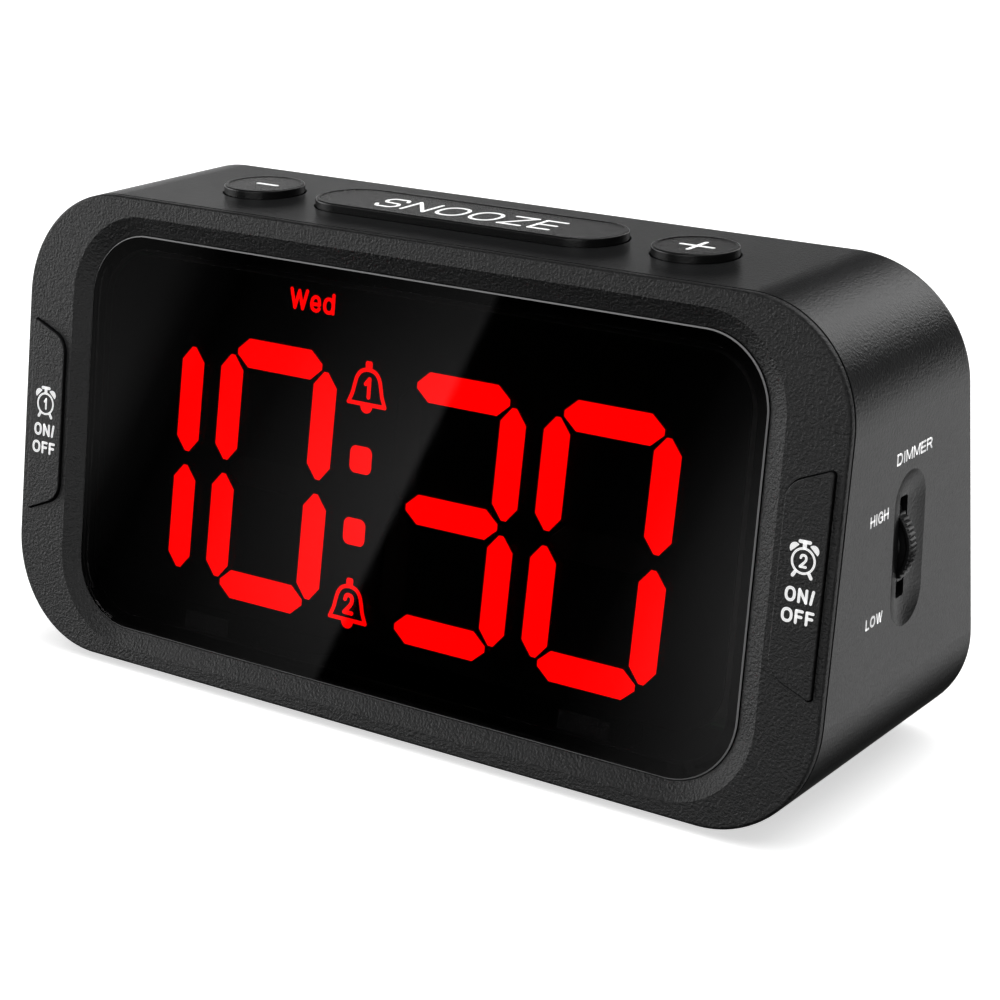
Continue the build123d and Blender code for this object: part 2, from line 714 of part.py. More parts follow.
for x, label in ((-BUTTON_X, "minus_button"), (BUTTON_X, "plus_button")):
    with BuildPart() as round_button:
        with BuildSketch(Plane.XY.offset(FLANGE_TOP - FLANGE_THICK)):
            with Locations((x, BUTTON_Y)):
                Circle(BUTTON_R)
        extrude(amount=TOP + BUTTON_RISE - FLANGE_TOP + FLANGE_THICK)
        fillet(round_button.faces().sort_by(Axis.Z)[-1].edges(), CAP_ROUND)
        with BuildSketch(Plane.XY.offset(TOP + BUTTON_RISE)):
            with Locations((x, BUTTON_Y)):
                Circle(BUTTON_R - DISH_RIM)
        extrude(amount=-DISH, mode=Mode.SUBTRACT)
        with BuildSketch(Plane.XY.offset(FLANGE_TOP - FLANGE_THICK)):
            with Locations((x, BUTTON_Y)):
                Circle(BUTTON_R + FLANGE)
        extrude(amount=FLANGE_THICK)
        # The moulding is hollow round its stem.
        with BuildSketch(Plane.XY.offset(FLANGE_TOP - FLANGE_THICK)):
            with Locations((x, BUTTON_Y)):
                Circle(BUTTON_R - CAP_WALL)
                Circle(STEM_R, mode=Mode.SUBTRACT)
        extrude(amount=TOP + BUTTON_RISE - CAP_WALL - FLANGE_TOP + FLANGE_THICK, mode=Mode.SUBTRACT)
        with BuildSketch(Plane.XY.offset(TOP_STEM_END)):
            with Locations((x, BUTTON_Y)):
                Circle(STEM_R)
        extrude(amount=FLANGE_TOP - TOP_STEM_END)
    save(round_button, label)

GUIDE_X = 18.0
with BuildPart() as snooze_bar:
    with BuildSketch(Plane.XY.offset(FLANGE_TOP - FLANGE_THICK)):
        with Locations((0, BUTTON_Y)):
            SlotOverall(BAR[0], BAR[1])
    extrude(amount=TOP + BUTTON_RISE - FLANGE_TOP + FLANGE_THICK)
    fillet(snooze_bar.faces().sort_by(Axis.Z)[-1].edges(), CAP_ROUND)
    with BuildSketch(Plane.XY.offset(TOP + BUTTON_RISE)):
        with Locations((0, BUTTON_Y)):
            SlotOverall(BAR[0] - 2 * DISH_RIM, BAR[1] - 2 * DISH_RIM)
    extrude(amount=-DISH, mode=Mode.SUBTRACT)
    with BuildSketch(Plane.XY.offset(FLANGE_TOP - FLANGE_THICK)):
        with Locations((0, BUTTON_Y)):
            SlotOverall(BAR[0] + 2 * FLANGE, BAR[1] + 2 * FLANGE)
    extrude(amount=FLANGE_THICK)
    with BuildSketch(Plane.XY.offset(FLANGE_TOP - FLANGE_THICK)):
        with Locations((0, BUTTON_Y)):
            SlotOverall(BAR[0] - 2 * CAP_WALL, BAR[1] - 2 * CAP_WALL)
            Circle(STEM_R, mode=Mode.SUBTRACT)
        with Locations((-GUIDE_X, BUTTON_Y), (GUIDE_X, BUTTON_Y)):
            Circle(GUIDE_R, mode=Mode.SUBTRACT)
    extrude(amount=TOP + BUTTON_RISE - CAP_WALL - FLANGE_TOP + FLANGE_THICK, mode=Mode.SUBTRACT)
    with BuildSketch(Plane.XY.offset(TOP_STEM_END)):
        with Locations((0, BUTTON_Y)):
            Circle(STEM_R)
    extrude(amount=FLANGE_TOP - TOP_STEM_END)
    with BuildSketch(Plane.XY.offset(KEY_BOARD_Z - 0.6)):
        with Locations((-GUIDE_X, BUTTON_Y), (GUIDE_X, BUTTON_Y)):
            Circle(GUIDE_R)
    extrude(amount=FLANGE_TOP - KEY_BOARD_Z + 0.6)
save(snooze_bar, "snooze_bar")

with BuildPart() as button_board:
    with BuildSketch(Plane.XY.offset(KEY_BOARD_Z)):
        with Locations((0, 2.7)):
            RectangleRounded(114, 14.6, 2)
        with Locations((-GUIDE_X, BUTTON_Y), (GUIDE_X, BUTTON_Y)):
            Circle(1.8, mode=Mode.SUBTRACT)
        with Locations(*[(x, y) for x, y, radius in top_bosses]):
            Circle(1.1, mode=Mode.SUBTRACT)
    extrude(amount=BOARD)
save(button_board, "button_board")

with BuildPart() as button_board_screws:
    for x, y, radius in top_bosses:
        with Locations(Location((x, y, KEY_BOARD_Z), (180, 0, 0))):
            add(small_screw)
save(button_board_screws, "button_board_screws")

top_switch_x = {"minus": -BUTTON_X, "snooze": 0.0, "plus": BUTTON_X}
with BuildPart() as top_switches:
    with Locations(*[(x, BUTTON_Y, BOARD_TOP) for x in top_switch_x.values()]):
        add(switch_body)
save(top_switches, "top_switches")

for name, x in top_switch_x.items():
    with BuildPart() as top_plunger:
        with Locations((x, BUTTON_Y, BOARD_TOP)):
            add(plunger_body)
    save(top_plunger, f"{name}_plunger")

# ---------------------------------------------------------------- main board
MAIN_BACK = MAIN_Y + BOARD
MAIN_LEFT = -50.0
MAIN_RIGHT = 71.8
with BuildPart() as main_board:
    with BuildSketch(upright(MAIN_BACK)):
        with Locations(((MAIN_LEFT + MAIN_RIGHT) / 2, 36.5)):
            RectangleRounded(MAIN_RIGHT - MAIN_LEFT, 48, 5)
        with Locations(*main_bosses):
            Circle(1.1, mode=Mode.SUBTRACT)
        with Locations((WIDTH / 2 + WHEEL_OUT - WHEEL_R, DIMMER_Z)):
            Circle(1.2, mode=Mode.SUBTRACT)
    extrude(amount=BOARD)
save(main_board, "main_board")

with BuildPart() as main_board_screws:
    for x, z in main_bosses:
        with Locations(upright(MAIN_Y) * Pos(x, z, 0)):
            add(small_screw)
save(main_board_screws, "main_board_screws")

with BuildPart() as main_chips:
    with BuildSketch(upright(MAIN_Y)):
        with Locations((30, 36)):
            RectangleRounded(14, 10, 0.3)
        with Locations((-22, 30), (-22, 46)):
            RectangleRounded(5, 10, 0.3)
        with Locations((50, 50)):
            RectangleRounded(6.6, 6.2, 0.3)
    extrude(amount=1.6)
save(main_chips, "main_chips")

with BuildPart() as capacitors:
    with BuildSketch(upright(MAIN_Y)):
        with Locations((46, 32), (56, 26), (-36, 24)):
            Circle(3.15)
    extrude(amount=9.0)
    fillet(capacitors.faces().sort_by(Axis.Y)[:3].edges(), 0.4)
save(capacitors, "capacitors")

with BuildPart() as sounder:
    with BuildSketch(upright(MAIN_BACK)):
        with Locations((SOUNDER_X, SOUNDER_Z)):
            Circle(SOUNDER_R)
    extrude(amount=-7.0)
    chamfer(sounder.faces().sort_by(Axis.Y)[-1].edges(), 0.5)
    with BuildSketch(upright(MAIN_BACK + 7.0)):
        with Locations((SOUNDER_X, SOUNDER_Z)):
            Circle(1.3)
    extrude(amount=1.6, mode=Mode.SUBTRACT)
save(sounder, "sounder")

with BuildPart() as board_header:
    with Locations((0, MAIN_Y - 1.3, (58 + KEY_BOARD_Z) / 2)):
        Box(20, 2.6, KEY_BOARD_Z - 58)
save(board_header, "board_header")

# ---------------------------------------------------------------- ribbon to the display
RIBBON_Z = 25.0
display_back_y = -DEPTH / 2 + (RIBBON_Z - LIFT) * math.tan(lean) + DISPLAY_BOARD_BACK / math.cos(lean)
with BuildPart() as ribbon_sockets:
    with BuildSketch(FRONT.offset(-DISPLAY_BOARD_BACK - 4.0)):
        with Locations((0, (RIBBON_Z - LIFT) / math.cos(lean) + 0.6)):
            Rectangle(17, 5)
    extrude(amount=4.0)
    with Locations((0, MAIN_Y - 2.0, RIBBON_Z)):
        Box(17, 4.0, 5)
save(ribbon_sockets, "ribbon_sockets")

ribbon_start = display_back_y + 4.1
ribbon_end = MAIN_Y - 4.0
ribbon_loop = (ribbon_end - ribbon_start) / 3
with BuildPart() as ribbon:
    with BuildSketch(Plane.YZ):
        with BuildLine():
            FilletPolyline(
                (ribbon_start, RIBBON_Z),
                (ribbon_start + ribbon_loop, RIBBON_Z),
                (ribbon_start + ribbon_loop, RIBBON_Z + 10),
                (ribbon_end - ribbon_loop, RIBBON_Z + 10),
                (ribbon_end - ribbon_loop, RIBBON_Z),
                (ribbon_end, RIBBON_Z),
                radius=1.2,
            )
        trace(line_width=0.5)
    extrude(amount=7, both=True)
save(ribbon, "ribbon")

# ---------------------------------------------------------------- dimmer
WHEEL_X = SIDE + WHEEL_OUT - WHEEL_R
wheel_back = DIMMER_Y + WHEEL_THICK / 2
with BuildPart() as dimmer_wheel:
    with BuildSketch(upright(wheel_back)):
        with Locations((WHEEL_X, DIMMER_Z)):
            Circle(WHEEL_R)
            with PolarLocations(WHEEL_R, WHEEL_TEETH):
                Rectangle(0.55, 0.42, rotation=45, mode=Mode.SUBTRACT)
    extrude(amount=WHEEL_THICK)
    with BuildSketch(upright(wheel_back + 0.9)):
        with Locations((WHEEL_X, DIMMER_Z)):
            Circle(3.0)
    extrude(amount=1.2)
    with BuildSketch(upright(wheel_back + 0.9)):
        with Locations((WHEEL_X, DIMMER_Z)):
            Circle(SHAFT_R)
    extrude(amount=WHEEL_THICK + 1, mode=Mode.SUBTRACT)
save(dimmer_wheel, "dimmer_wheel")

with BuildPart() as dimmer_shaft:
    with BuildSketch(upright(MAIN_Y - 1.2)):
        with Locations((WHEEL_X, DIMMER_Z)):
            Circle(SHAFT_R)
    extrude(amount=MAIN_Y - 1.2 - wheel_back + WHEEL_THICK)
    chamfer(dimmer_shaft.faces().sort_by(Axis.Y)[0].edges(), 0.2)
save(dimmer_shaft, "dimmer_shaft")

with BuildPart() as dimmer_pot:
    with BuildSketch(upright(MAIN_Y)):
        with Locations((WHEEL_X, DIMMER_Z)):
            RectangleRounded(7.2, 7.2, 0.8)
    extrude(amount=3.5)
    with BuildSketch(upright(MAIN_Y - 3.5)):
        with Locations((WHEEL_X, DIMMER_Z)):
            Circle(SHAFT_R + 0.06)
    extrude(amount=-2.5, mode=Mode.SUBTRACT)
save(dimmer_pot, "dimmer_pot")

# ---------------------------------------------------------------- rear setting keys
rear_stem_end = MAIN_BACK + SWITCH[2] + PLUNGER_OUT
for x, label in zip(REAR_KEYS, ("clock_set_key", "alarm_set_key")):
    with BuildPart() as rear_key:
        with BuildSketch(upright(MAIN_BACK)):
            with Locations((x, REAR_KEY_Z)):
                Circle(REAR_KEY_R + 0.8)
        extrude(amount=-DEPTH / 2)
        split(bisect_by=BACK.offset(-WALL - STOP), keep=Keep.BOTTOM)
        split(bisect_by=BACK.offset(-WALL - STOP - 1.1), keep=Keep.TOP)
        with BuildSketch(upright(MAIN_BACK + 8)):
            with Locations((x, REAR_KEY_Z)):
                Circle(REAR_KEY_R)
        extrude(amount=-DEPTH / 2)
        split(bisect_by=BACK.offset(REAR_KEY_RISE), keep=Keep.BOTTOM)
        fillet(rear_key.faces().sort_by(BACK_AXIS)[-1].edges(), 0.3)
        with BuildSketch(upright(rear_stem_end)):
            with Locations((x, REAR_KEY_Z)):
                Circle(1.8)
        extrude(amount=-5)
    save(rear_key, label)

with BuildPart() as rear_switches:
    for x in REAR_KEYS:
        with Locations(upright(MAIN_BACK) * Pos(x, REAR_KEY_Z, 0) * Rot(180, 0, 0)):
            add(switch_body)
save(rear_switches, "rear_switches")

for x, label in zip(REAR_KEYS, ("clock_set_plunger", "alarm_set_plunger")):
    with BuildPart() as rear_plunger:
        with Locations(upright(MAIN_BACK) * Pos(x, REAR_KEY_Z, 0) * Rot(180, 0, 0)):
            add(plunger_body)
    save(rear_plunger, label)

# ---------------------------------------------------------------- power inlet
JACK_MOUTH = JACK_FLOOR - 0.2
with BuildPart() as power_inlet:
    with BuildSketch(upright(MAIN_BACK)):
        with Locations((JACK_X, JACK_Z)):
            RectangleRounded(10.5, 10.5, 0.6)
    extrude(amount=-(JACK_FLOOR - WALL - 0.2 - MAIN_BACK))
    with BuildSketch(upright(MAIN_BACK)):
        with Locations((JACK_X, JACK_Z)):
            Circle(4.0)
    extrude(amount=-(JACK_MOUTH - MAIN_BACK))
    with BuildSketch(upright(JACK_MOUTH)):
        with Locations((JACK_X, JACK_Z)):
            Circle(2.85)
    extrude(amount=9.5, mode=Mode.SUBTRACT)
save(power_inlet, "power_inlet")

with BuildPart() as inlet_pin:
    with BuildSketch(upright(JACK_MOUTH - 9.5)):
        with Locations((JACK_X, JACK_Z)):
            Circle(1.0)
    extrude(amount=-8.3)
    fillet(inlet_pin.faces().sort_by(Axis.Y)[-1].edges(), 0.6)
save(inlet_pin, "inlet_pin")

# ---------------------------------------------------------------- backup cell and its door
CELL_LOW = FLOOR + 1.4
with BuildPart() as backup_cell:
    with BuildSketch(Plane.XY.offset(CELL_LOW)):
        with Locations((CELL_X, CELL_Y)):
            Circle(CELL_R)
    extrude(amount=CELL_THICK)
    fillet(backup_cell.faces().sort_by(Axis.Z)[0].edges(), 0.5)
    with BuildSketch(Plane.XY.offset(CELL_LOW + CELL_THICK)):
        with Locations((CELL_X, CELL_Y)):
            Circle(CELL_R)
            Circle(CELL_R - 1.3, mode=Mode.SUBTRACT)
    extrude(amount=-0.3, mode=Mode.SUBTRACT)
save(backup_cell, "backup_cell")

with BuildPart() as cell_contact:
    with BuildSketch(Plane.XZ.offset(-CELL_Y)):
        with BuildLine():
            Polyline(
                (CELL_X - 6, FLOOR + 5.4),
                (CELL_X - 6, FLOOR + 5.15),
                (CELL_X - 2.5, FLOOR + 4.6),
                (CELL_X + 2.5, FLOOR + 4.6),
                (CELL_X + 6, FLOOR + 5.15),
                (CELL_X + 6, FLOOR + 5.4),
                (CELL_X + 2.5, FLOOR + 4.85),
                (CELL_X - 2.5, FLOOR + 4.85),
                close=True,
            )
        make_face()
    extrude(amount=2.0, both=True)
save(cell_contact, "cell_contact")

with BuildPart() as cell_door:
    with BuildSketch(Plane.XY.offset(LIFT + 0.2)):
        with Locations((CELL_X, CELL_Y)):
            Circle(DOOR_R)
    extrude(amount=WALL - 0.05)
    chamfer(cell_door.faces().sort_by(Axis.Z)[0].edges(), 0.3)
    with BuildSketch(Plane.XY.offset(FLOOR + STOP)):
        with Locations((CELL_X, CELL_Y)):
            SlotOverall(2 * TAB_R, TAB_WIDE)
    extrude(amount=1.0)
    # Slot for a coin.
    with BuildSketch(Plane.XY.offset(LIFT + 0.2)):
        with Locations((CELL_X, CELL_Y)):
            SlotOverall(15, 1.9)
    extrude(amount=1.0, mode=Mode.SUBTRACT)
save(cell_door, "cell_door")

# ---------------------------------------------------------------- feet and case screws
foot_names = ("front_left", "back_left", "front_right", "back_right")
for name, (x, y) in zip(foot_names, feet_places):
    with BuildPart() as foot:
        with BuildSketch():
            with Locations((x, y)):
                Circle(FOOT_R)
        extrude(amount=LIFT + FOOT_SUNK)
        chamfer(foot.faces().sort_by(Axis.Z)[0].edges(), 0.35)
    save(foot, f"foot_{name}")

with BuildPart() as case_screws:
    for x, y in case_screw_places:
        with Locations(Location((x, y, LIFT + 2.0), (180, 0, 0))):
            add(large_screw)
save(case_screws, "case_screws")
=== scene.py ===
import math
import bpy
import numpy as np
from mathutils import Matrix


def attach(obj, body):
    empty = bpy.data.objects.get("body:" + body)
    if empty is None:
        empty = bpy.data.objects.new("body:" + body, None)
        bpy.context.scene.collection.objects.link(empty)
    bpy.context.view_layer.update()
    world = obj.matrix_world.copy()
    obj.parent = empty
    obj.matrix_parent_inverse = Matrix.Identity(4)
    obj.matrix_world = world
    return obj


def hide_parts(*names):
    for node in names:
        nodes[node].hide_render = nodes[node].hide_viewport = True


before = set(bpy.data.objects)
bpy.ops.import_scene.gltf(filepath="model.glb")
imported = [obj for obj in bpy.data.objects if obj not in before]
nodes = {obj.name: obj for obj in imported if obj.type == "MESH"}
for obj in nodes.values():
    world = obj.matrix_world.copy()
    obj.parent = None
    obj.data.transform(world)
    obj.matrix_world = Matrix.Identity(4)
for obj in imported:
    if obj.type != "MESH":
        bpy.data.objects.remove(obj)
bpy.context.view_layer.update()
scene = bpy.context.scene
scene.view_settings.view_transform = "Standard"
mm = 0.001

# ------------------------------------------------------------------ camera
# A long lens a forearm's length from the clock, looking a little down on its
# right front corner, as one would see it on a bedside table.
view_back = np.array([0.544271, -0.779145, 0.310971])
azimuth = math.atan2(view_back[0], -view_back[1])
tilt = math.acos(view_back[2] / np.linalg.norm(view_back))
lens = bpy.data.cameras.new("camera")
lens.lens = 90.75
lens.sensor_width = 36.0
lens.clip_start = 0.01
lens.clip_end = 50.0
camera = bpy.data.objects.new("camera", lens)
camera.location = (0.218798, -0.305288, 0.154092)
camera.rotation_euler = (tilt, 0.0, azimuth)
scene.collection.objects.link(camera)
scene.camera = camera

# ------------------------------------------------------------------ table and light
# A matt white table top, a white room with darker screens in front of and
# behind the clock, and one wide soft lamp overhead.
world = bpy.data.worlds.new("studio")
world.use_nodes = True
scene.world = world
tree = world.node_tree
tree.nodes.clear()


def wire(tree, kind, inputs=None, **settings):
    """Adds one shader node; inputs maps a socket to a value or to another node's output."""
    node = tree.nodes.new(kind)
    for key, value in settings.items():
        setattr(node, key, value)
    for key, value in (inputs or {}).items():
        if isinstance(value, bpy.types.NodeSocket):
            tree.links.new(value, node.inputs[key])
        else:
            node.inputs[key].default_value = value
    return node


def ramp(tree, factor, stops, interpolation="EASE"):
    """Grey ramp: stops are (position, brightness) pairs, positions from 0 to 1."""
    node = wire(tree, "ShaderNodeValToRGB", {0: factor})
    band = node.color_ramp
    band.interpolation = interpolation
    while len(band.elements) < len(stops):
        band.elements.new(0.5)
    for element, (place, grey) in zip(band.elements, stops):
        element.position = place
        element.color = (grey, grey, grey, 1.0)
    return node.outputs[0]


def around(degrees):
    """Where a direction turned so far from +X, seen along the clock's depth, lies on a ramp."""
    return degrees / 360.0 + 0.5


way = wire(tree, "ShaderNodeTexCoord").outputs["Generated"]
parts = wire(tree, "ShaderNodeSeparateXYZ", {0: way})
turn = wire(tree, "ShaderNodeMath", {0: parts.outputs["Z"], 1: parts.outputs["X"]}, operation="ARCTAN2")
turn = wire(tree, "ShaderNodeMapRange", {0: turn.outputs[0], 1: -math.pi, 2: math.pi, 3: 0.0, 4: 1.0})
behind = ramp(tree, turn.outputs[0], [
    (around(-180), 0.30), (around(-150), 0.10), (around(-100), 0.0), (around(-62), 0.02), (around(-46),
                                                                                           0.50),
    (around(-32), 0.33), (around(-12), 0.25), (around(2), 0.0), (around(36), 0.0), (around(60), 0.55),
    (around(92), 0.59), (around(110), 0.0), (around(152), 0.0), (around(158), 0.02), (around(165), 0.17),
    (around(172), 0.31), (around(180), 0.33),
])
before = ramp(tree, turn.outputs[0], [
    (around(-180), 0.22), (around(-165), 0.07), (around(-150), 0.02), (around(-135), 0.0), (around(-60),
                                                                                            0.0),
    (around(-20), 0.03), (around(20), 0.03), (around(60), 0.10), (around(110), 0.02), (around(150), 0.06),
    (around(166), 0.14), (around(180), 0.22),
])
side_mix = ramp(tree, wire(tree, "ShaderNodeMapRange", {
    0: parts.outputs["Y"], 1: -0.3, 2: 0.3, 3: 0.0, 4: 1.0}).outputs[0], [(0.0, 0.0), (1.0, 1.0)])
room = wire(tree, "ShaderNodeMix", {0: side_mix, 6: before, 7: behind}, data_type="RGBA").outputs[2]

# Soft boxes: where each one stands, how wide it is as two cosines, and its brightness.
for stands, inner, outer, bright in (
    ((-0.92, -0.36, 0.10), 0.97, 0.86, 0.70),
    ((0.12, -0.99, 0.02), 0.97, 0.86, 0.36),
):
    near = wire(tree, "ShaderNodeVectorMath", {0: way, 1: stands}, operation="DOT_PRODUCT")
    patch_light = ramp(tree, near.outputs["Value"], [(outer, 0.0), (inner, bright)])
    room = wire(tree, "ShaderNodeMix", {0: 1.0, 6: room, 7: patch_light}, data_type="RGBA",
                blend_type="ADD").outputs[2]

# The dark screen that the window mirrors; its straight edge runs across the glass,
# in a plane square to screen_edge.
screen_middle = (-0.566, -0.820, -0.086)
screen_edge = (0.79698, -0.53378, -0.28268)
toward = wire(tree, "ShaderNodeVectorMath", {0: way, 1: screen_middle}, operation="DOT_PRODUCT")
screen = ramp(tree, toward.outputs["Value"], [(0.945, 0.0), (0.968, 1.0)])
across = wire(tree, "ShaderNodeVectorMath", {0: way, 1: screen_edge}, operation="DOT_PRODUCT")
across = wire(tree, "ShaderNodeMapRange", {0: across.outputs["Value"], 1: -0.2, 2: 0.2, 3: 0.0, 4: 1.0})
cloth = ramp(tree, across.outputs[0], [
    (0.0, 0.09), (0.20, 0.05), (0.235, 0.010), (0.265, 0.002), (0.34, 0.013), (0.42, 0.055), (0.4960,
                                                                                              0.105),
    (0.4985, 0.19), (0.5005, 0.0), (0.68, 0.0), (0.73, 0.003), (0.77, 0.022), (0.83, 0.085), (0.90, 0.20),
], "LINEAR")
level = wire(tree, "ShaderNodeMapRange", {0: parts.outputs["Z"], 1: -0.22, 2: 0.05, 3: 0.0, 4: 1.0})
level = ramp(tree, level.outputs[0], [(0.15, 0.45), (0.50, 1.0), (0.82, 0.50)])
cloth = wire(tree, "ShaderNodeMix", {0: 1.0, 6: cloth, 7: level}, data_type="RGBA",
             blend_type="MULTIPLY").outputs[2]
sight = wire(tree, "ShaderNodeMix", {0: screen, 6: room, 7: cloth}, data_type="RGBA").outputs[2]
glow = wire(tree, "ShaderNodeBackground", {0: sight, 1: 3.0})
wire(tree, "ShaderNodeOutputWorld", {0: glow.outputs[0]})

table = bpy.data.meshes.new("table")
reach = 4.0
table.from_pydata([(-reach, -reach, 0), (reach, -reach, 0), (reach, reach, 0), (-reach, reach, 0)], [],
                  [(0, 1, 2, 3)])
table = bpy.data.objects.new("table", table)
scene.collection.objects.link(table)
table.visible_glossy = False
table.visible_diffuse = False
table.visible_transmission = False
paint = bpy.data.materials.new("table_white")
paint.use_nodes = True
paint.node_tree.nodes.clear()
board_grain = wire(paint.node_tree, "ShaderNodeTexNoise", {
    "Vector": wire(paint.node_tree, "ShaderNodeTexCoord").outputs["Object"], "Scale": 4.0, "Detail": 2.0})
pale = ramp(paint.node_tree, board_grain.outputs[0], [(0.3, 0.90), (0.7, 0.93)])
matt = wire(paint.node_tree, "ShaderNodeBsdfPrincipled", {
    "Base Color": pale, "Roughness": 0.9, "Specular IOR Level": 0.0,
    "Emission Color": (1.0, 1.0, 1.0, 1.0), "Emission Strength": 0.60})
wire(paint.node_tree, "ShaderNodeOutputMaterial", {0: matt.outputs[0]})
table.data.materials.append(paint)


def soft_lamp(name, place, aim, size, watts, seen_in_gloss=True):
    """Square lamp with soft shadows, turned to face the point aim."""
    lamp = bpy.data.lights.new(name, "AREA")
    lamp.shape = "RECTANGLE"
    lamp.size, lamp.size_y = size
    lamp.energy = watts
    holder = bpy.data.objects.new(name, lamp)
    scene.collection.objects.link(holder)
    holder.location = place
    line = np.array(aim, float) - np.array(place, float)
    flat = math.hypot(line[0], line[1])
    holder.rotation_euler = (math.atan2(flat, -line[2]), 0.0,
                             math.atan2(-line[0], line[1]) if flat > 1e-6 else 0.0)
    holder.visible_camera = False
    holder.visible_glossy = seen_in_gloss
    return holder


soft_lamp("overhead", (-0.1, -0.1, 1.1), (0, 0, 0.03), (1.6, 1.6), 9.0, seen_in_gloss=False)

# ------------------------------------------------------------------ rear housing
# One injection moulding in charcoal ABS: top, sides, floor and back. The tool was
# spark-eroded, which leaves a fine satin grain all over it.


def object_place(tree):
    """Object coordinates, in metres in the clock's own frame."""
    return wire(tree, "ShaderNodeTexCoord").outputs["Object"]


def new_finish(name):
    """Empty material with its node tree and its output node."""
    finish = bpy.data.materials.new(name)
    finish.use_nodes = True
    finish.node_tree.nodes.clear()
    return finish, finish.node_tree, wire(finish.node_tree, "ShaderNodeOutputMaterial")


def moulded(name, colour, rough, grain=0.22, depth=0.012, cloud=0.10, rub=0.05, level=0.5, coat=0.0):
    """Moulded plastic: tool grain as bump, faint cloudy colour, rubbed and matt patches in its gloss.

    grain is the grain's size in mm, depth its height in mm, cloud the share that
    the colour varies by and rub the amount that the roughness varies by.
    """
    finish, tree, out = new_finish(name)
    place = object_place(tree)
    fine = wire(tree, "ShaderNodeTexNoise", {"Vector": place, "Scale": 1.0 / (grain * mm),
                                             "Detail": 3.0, "Roughness": 0.6})
    broad = wire(tree, "ShaderNodeTexNoise", {"Vector": place, "Scale": 55.0, "Detail": 4.0,
                                              "Roughness": 0.55})
    specks = wire(tree, "ShaderNodeTexNoise", {"Vector": place, "Scale": 1.0 / (grain * 2.2 * mm),
                                               "Detail": 1.0})
    tone = wire(tree, "ShaderNodeMix", {0: broad.outputs[0],
                                        6: tuple(c * (1 - cloud) for c in colour) + (1.0,),
                                        7: tuple(c * (1 + cloud) for c in colour) + (1.0,)}, data_type="RGBA")
    dust = ramp(tree, specks.outputs[0], [(0.0, 1.0), (0.62, 1.0), (0.80, 1.5)], "LINEAR")
    tone = wire(tree, "ShaderNodeMix", {0: 1.0, 6: tone.outputs[2], 7: dust}, data_type="RGBA",
                blend_type="MULTIPLY")
    shine = wire(tree, "ShaderNodeMapRange", {0: broad.outputs[0], 1: 0.3, 2: 0.7, 3: rough - rub,
                                              4: rough + rub})
    relief = wire(tree, "ShaderNodeBump", {"Strength": 1.0, "Distance": depth * mm,
                                           "Height": fine.outputs[0]})
    skin = wire(tree, "ShaderNodeBsdfPrincipled", {
        "Base Color": tone.outputs[2], "Roughness": shine.outputs[0], "Specular IOR Level": level,
        "Coat Weight": coat, "Coat Roughness": 0.25, "Normal": relief.outputs[0]})
    tree.links.new(skin.outputs[0], out.inputs[0])
    return finish


def finish_node(finish, *names):
    """Gives a CAD node its finish without touching its mesh."""
    for name in names:
        for holder in nodes[name].material_slots:
            holder.link = "OBJECT"
            holder.material = finish


case_plastic = moulded("case_plastic", (0.009, 0.0092, 0.0096), 0.30, grain=0.42, depth=0.08, rub=0.015)
finish_node(case_plastic, "rear_housing", "cell_door")

# ------------------------------------------------------------------ white marks on the right side
# DIMMER, HIGH and LOW, pad-printed in white ink round the thumbwheel's scoop.


def lay(points, plane):
    """Carries points (right, up, out) in mm onto a face: origin + right*U + up*V + out*N."""
    start, right, up, out = (np.array(v, float) for v in plane)
    return (start + points[:, :1] * right + points[:, 1:2] * up + points[:, 2:3] * out) * mm


def solid(name, points, faces, finish, body):
    """Mesh object from whole arrays, with one finish, riding on a body."""
    mesh = bpy.data.meshes.new(name)
    mesh.from_pydata(points.tolist(), [], faces)
    mesh.update()
    mesh.materials.append(finish)
    piece = bpy.data.objects.new(name, mesh)
    scene.collection.objects.link(piece)
    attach(piece, body)
    return piece


def gather(pieces):
    """Joins (points, faces) pairs into one pair."""
    points, faces, count = [], [], 0
    for some, links in pieces:
        points.append(some)
        faces += [tuple(i + count for i in face) for face in links]
        count += len(some)
    return np.vstack(points), faces


def smooth(points, steps):
    """Even curve through a few points: a cubic between each pair, its slope the mean of its neighbours'."""
    p = np.array(points, float)
    before = np.vstack([2 * p[0] - p[1], p[:-1]])
    after = np.vstack([p[1:], 2 * p[-1] - p[-2]])
    slope = (after - before) / 2
    t = np.linspace(0, 1, steps, endpoint=False)[None, :, None]
    a, b, da, db = p[:-1, None], p[1:, None], slope[:-1, None], slope[1:, None]
    curve = (a * (2 * t**3 - 3 * t**2 + 1) + da * (t**3 - 2 * t**2 + t)
             + b * (-2 * t**3 + 3 * t**2) + db * (t**3 - t**2))
    return np.vstack([curve.reshape(-1, 2), p[-1:]])


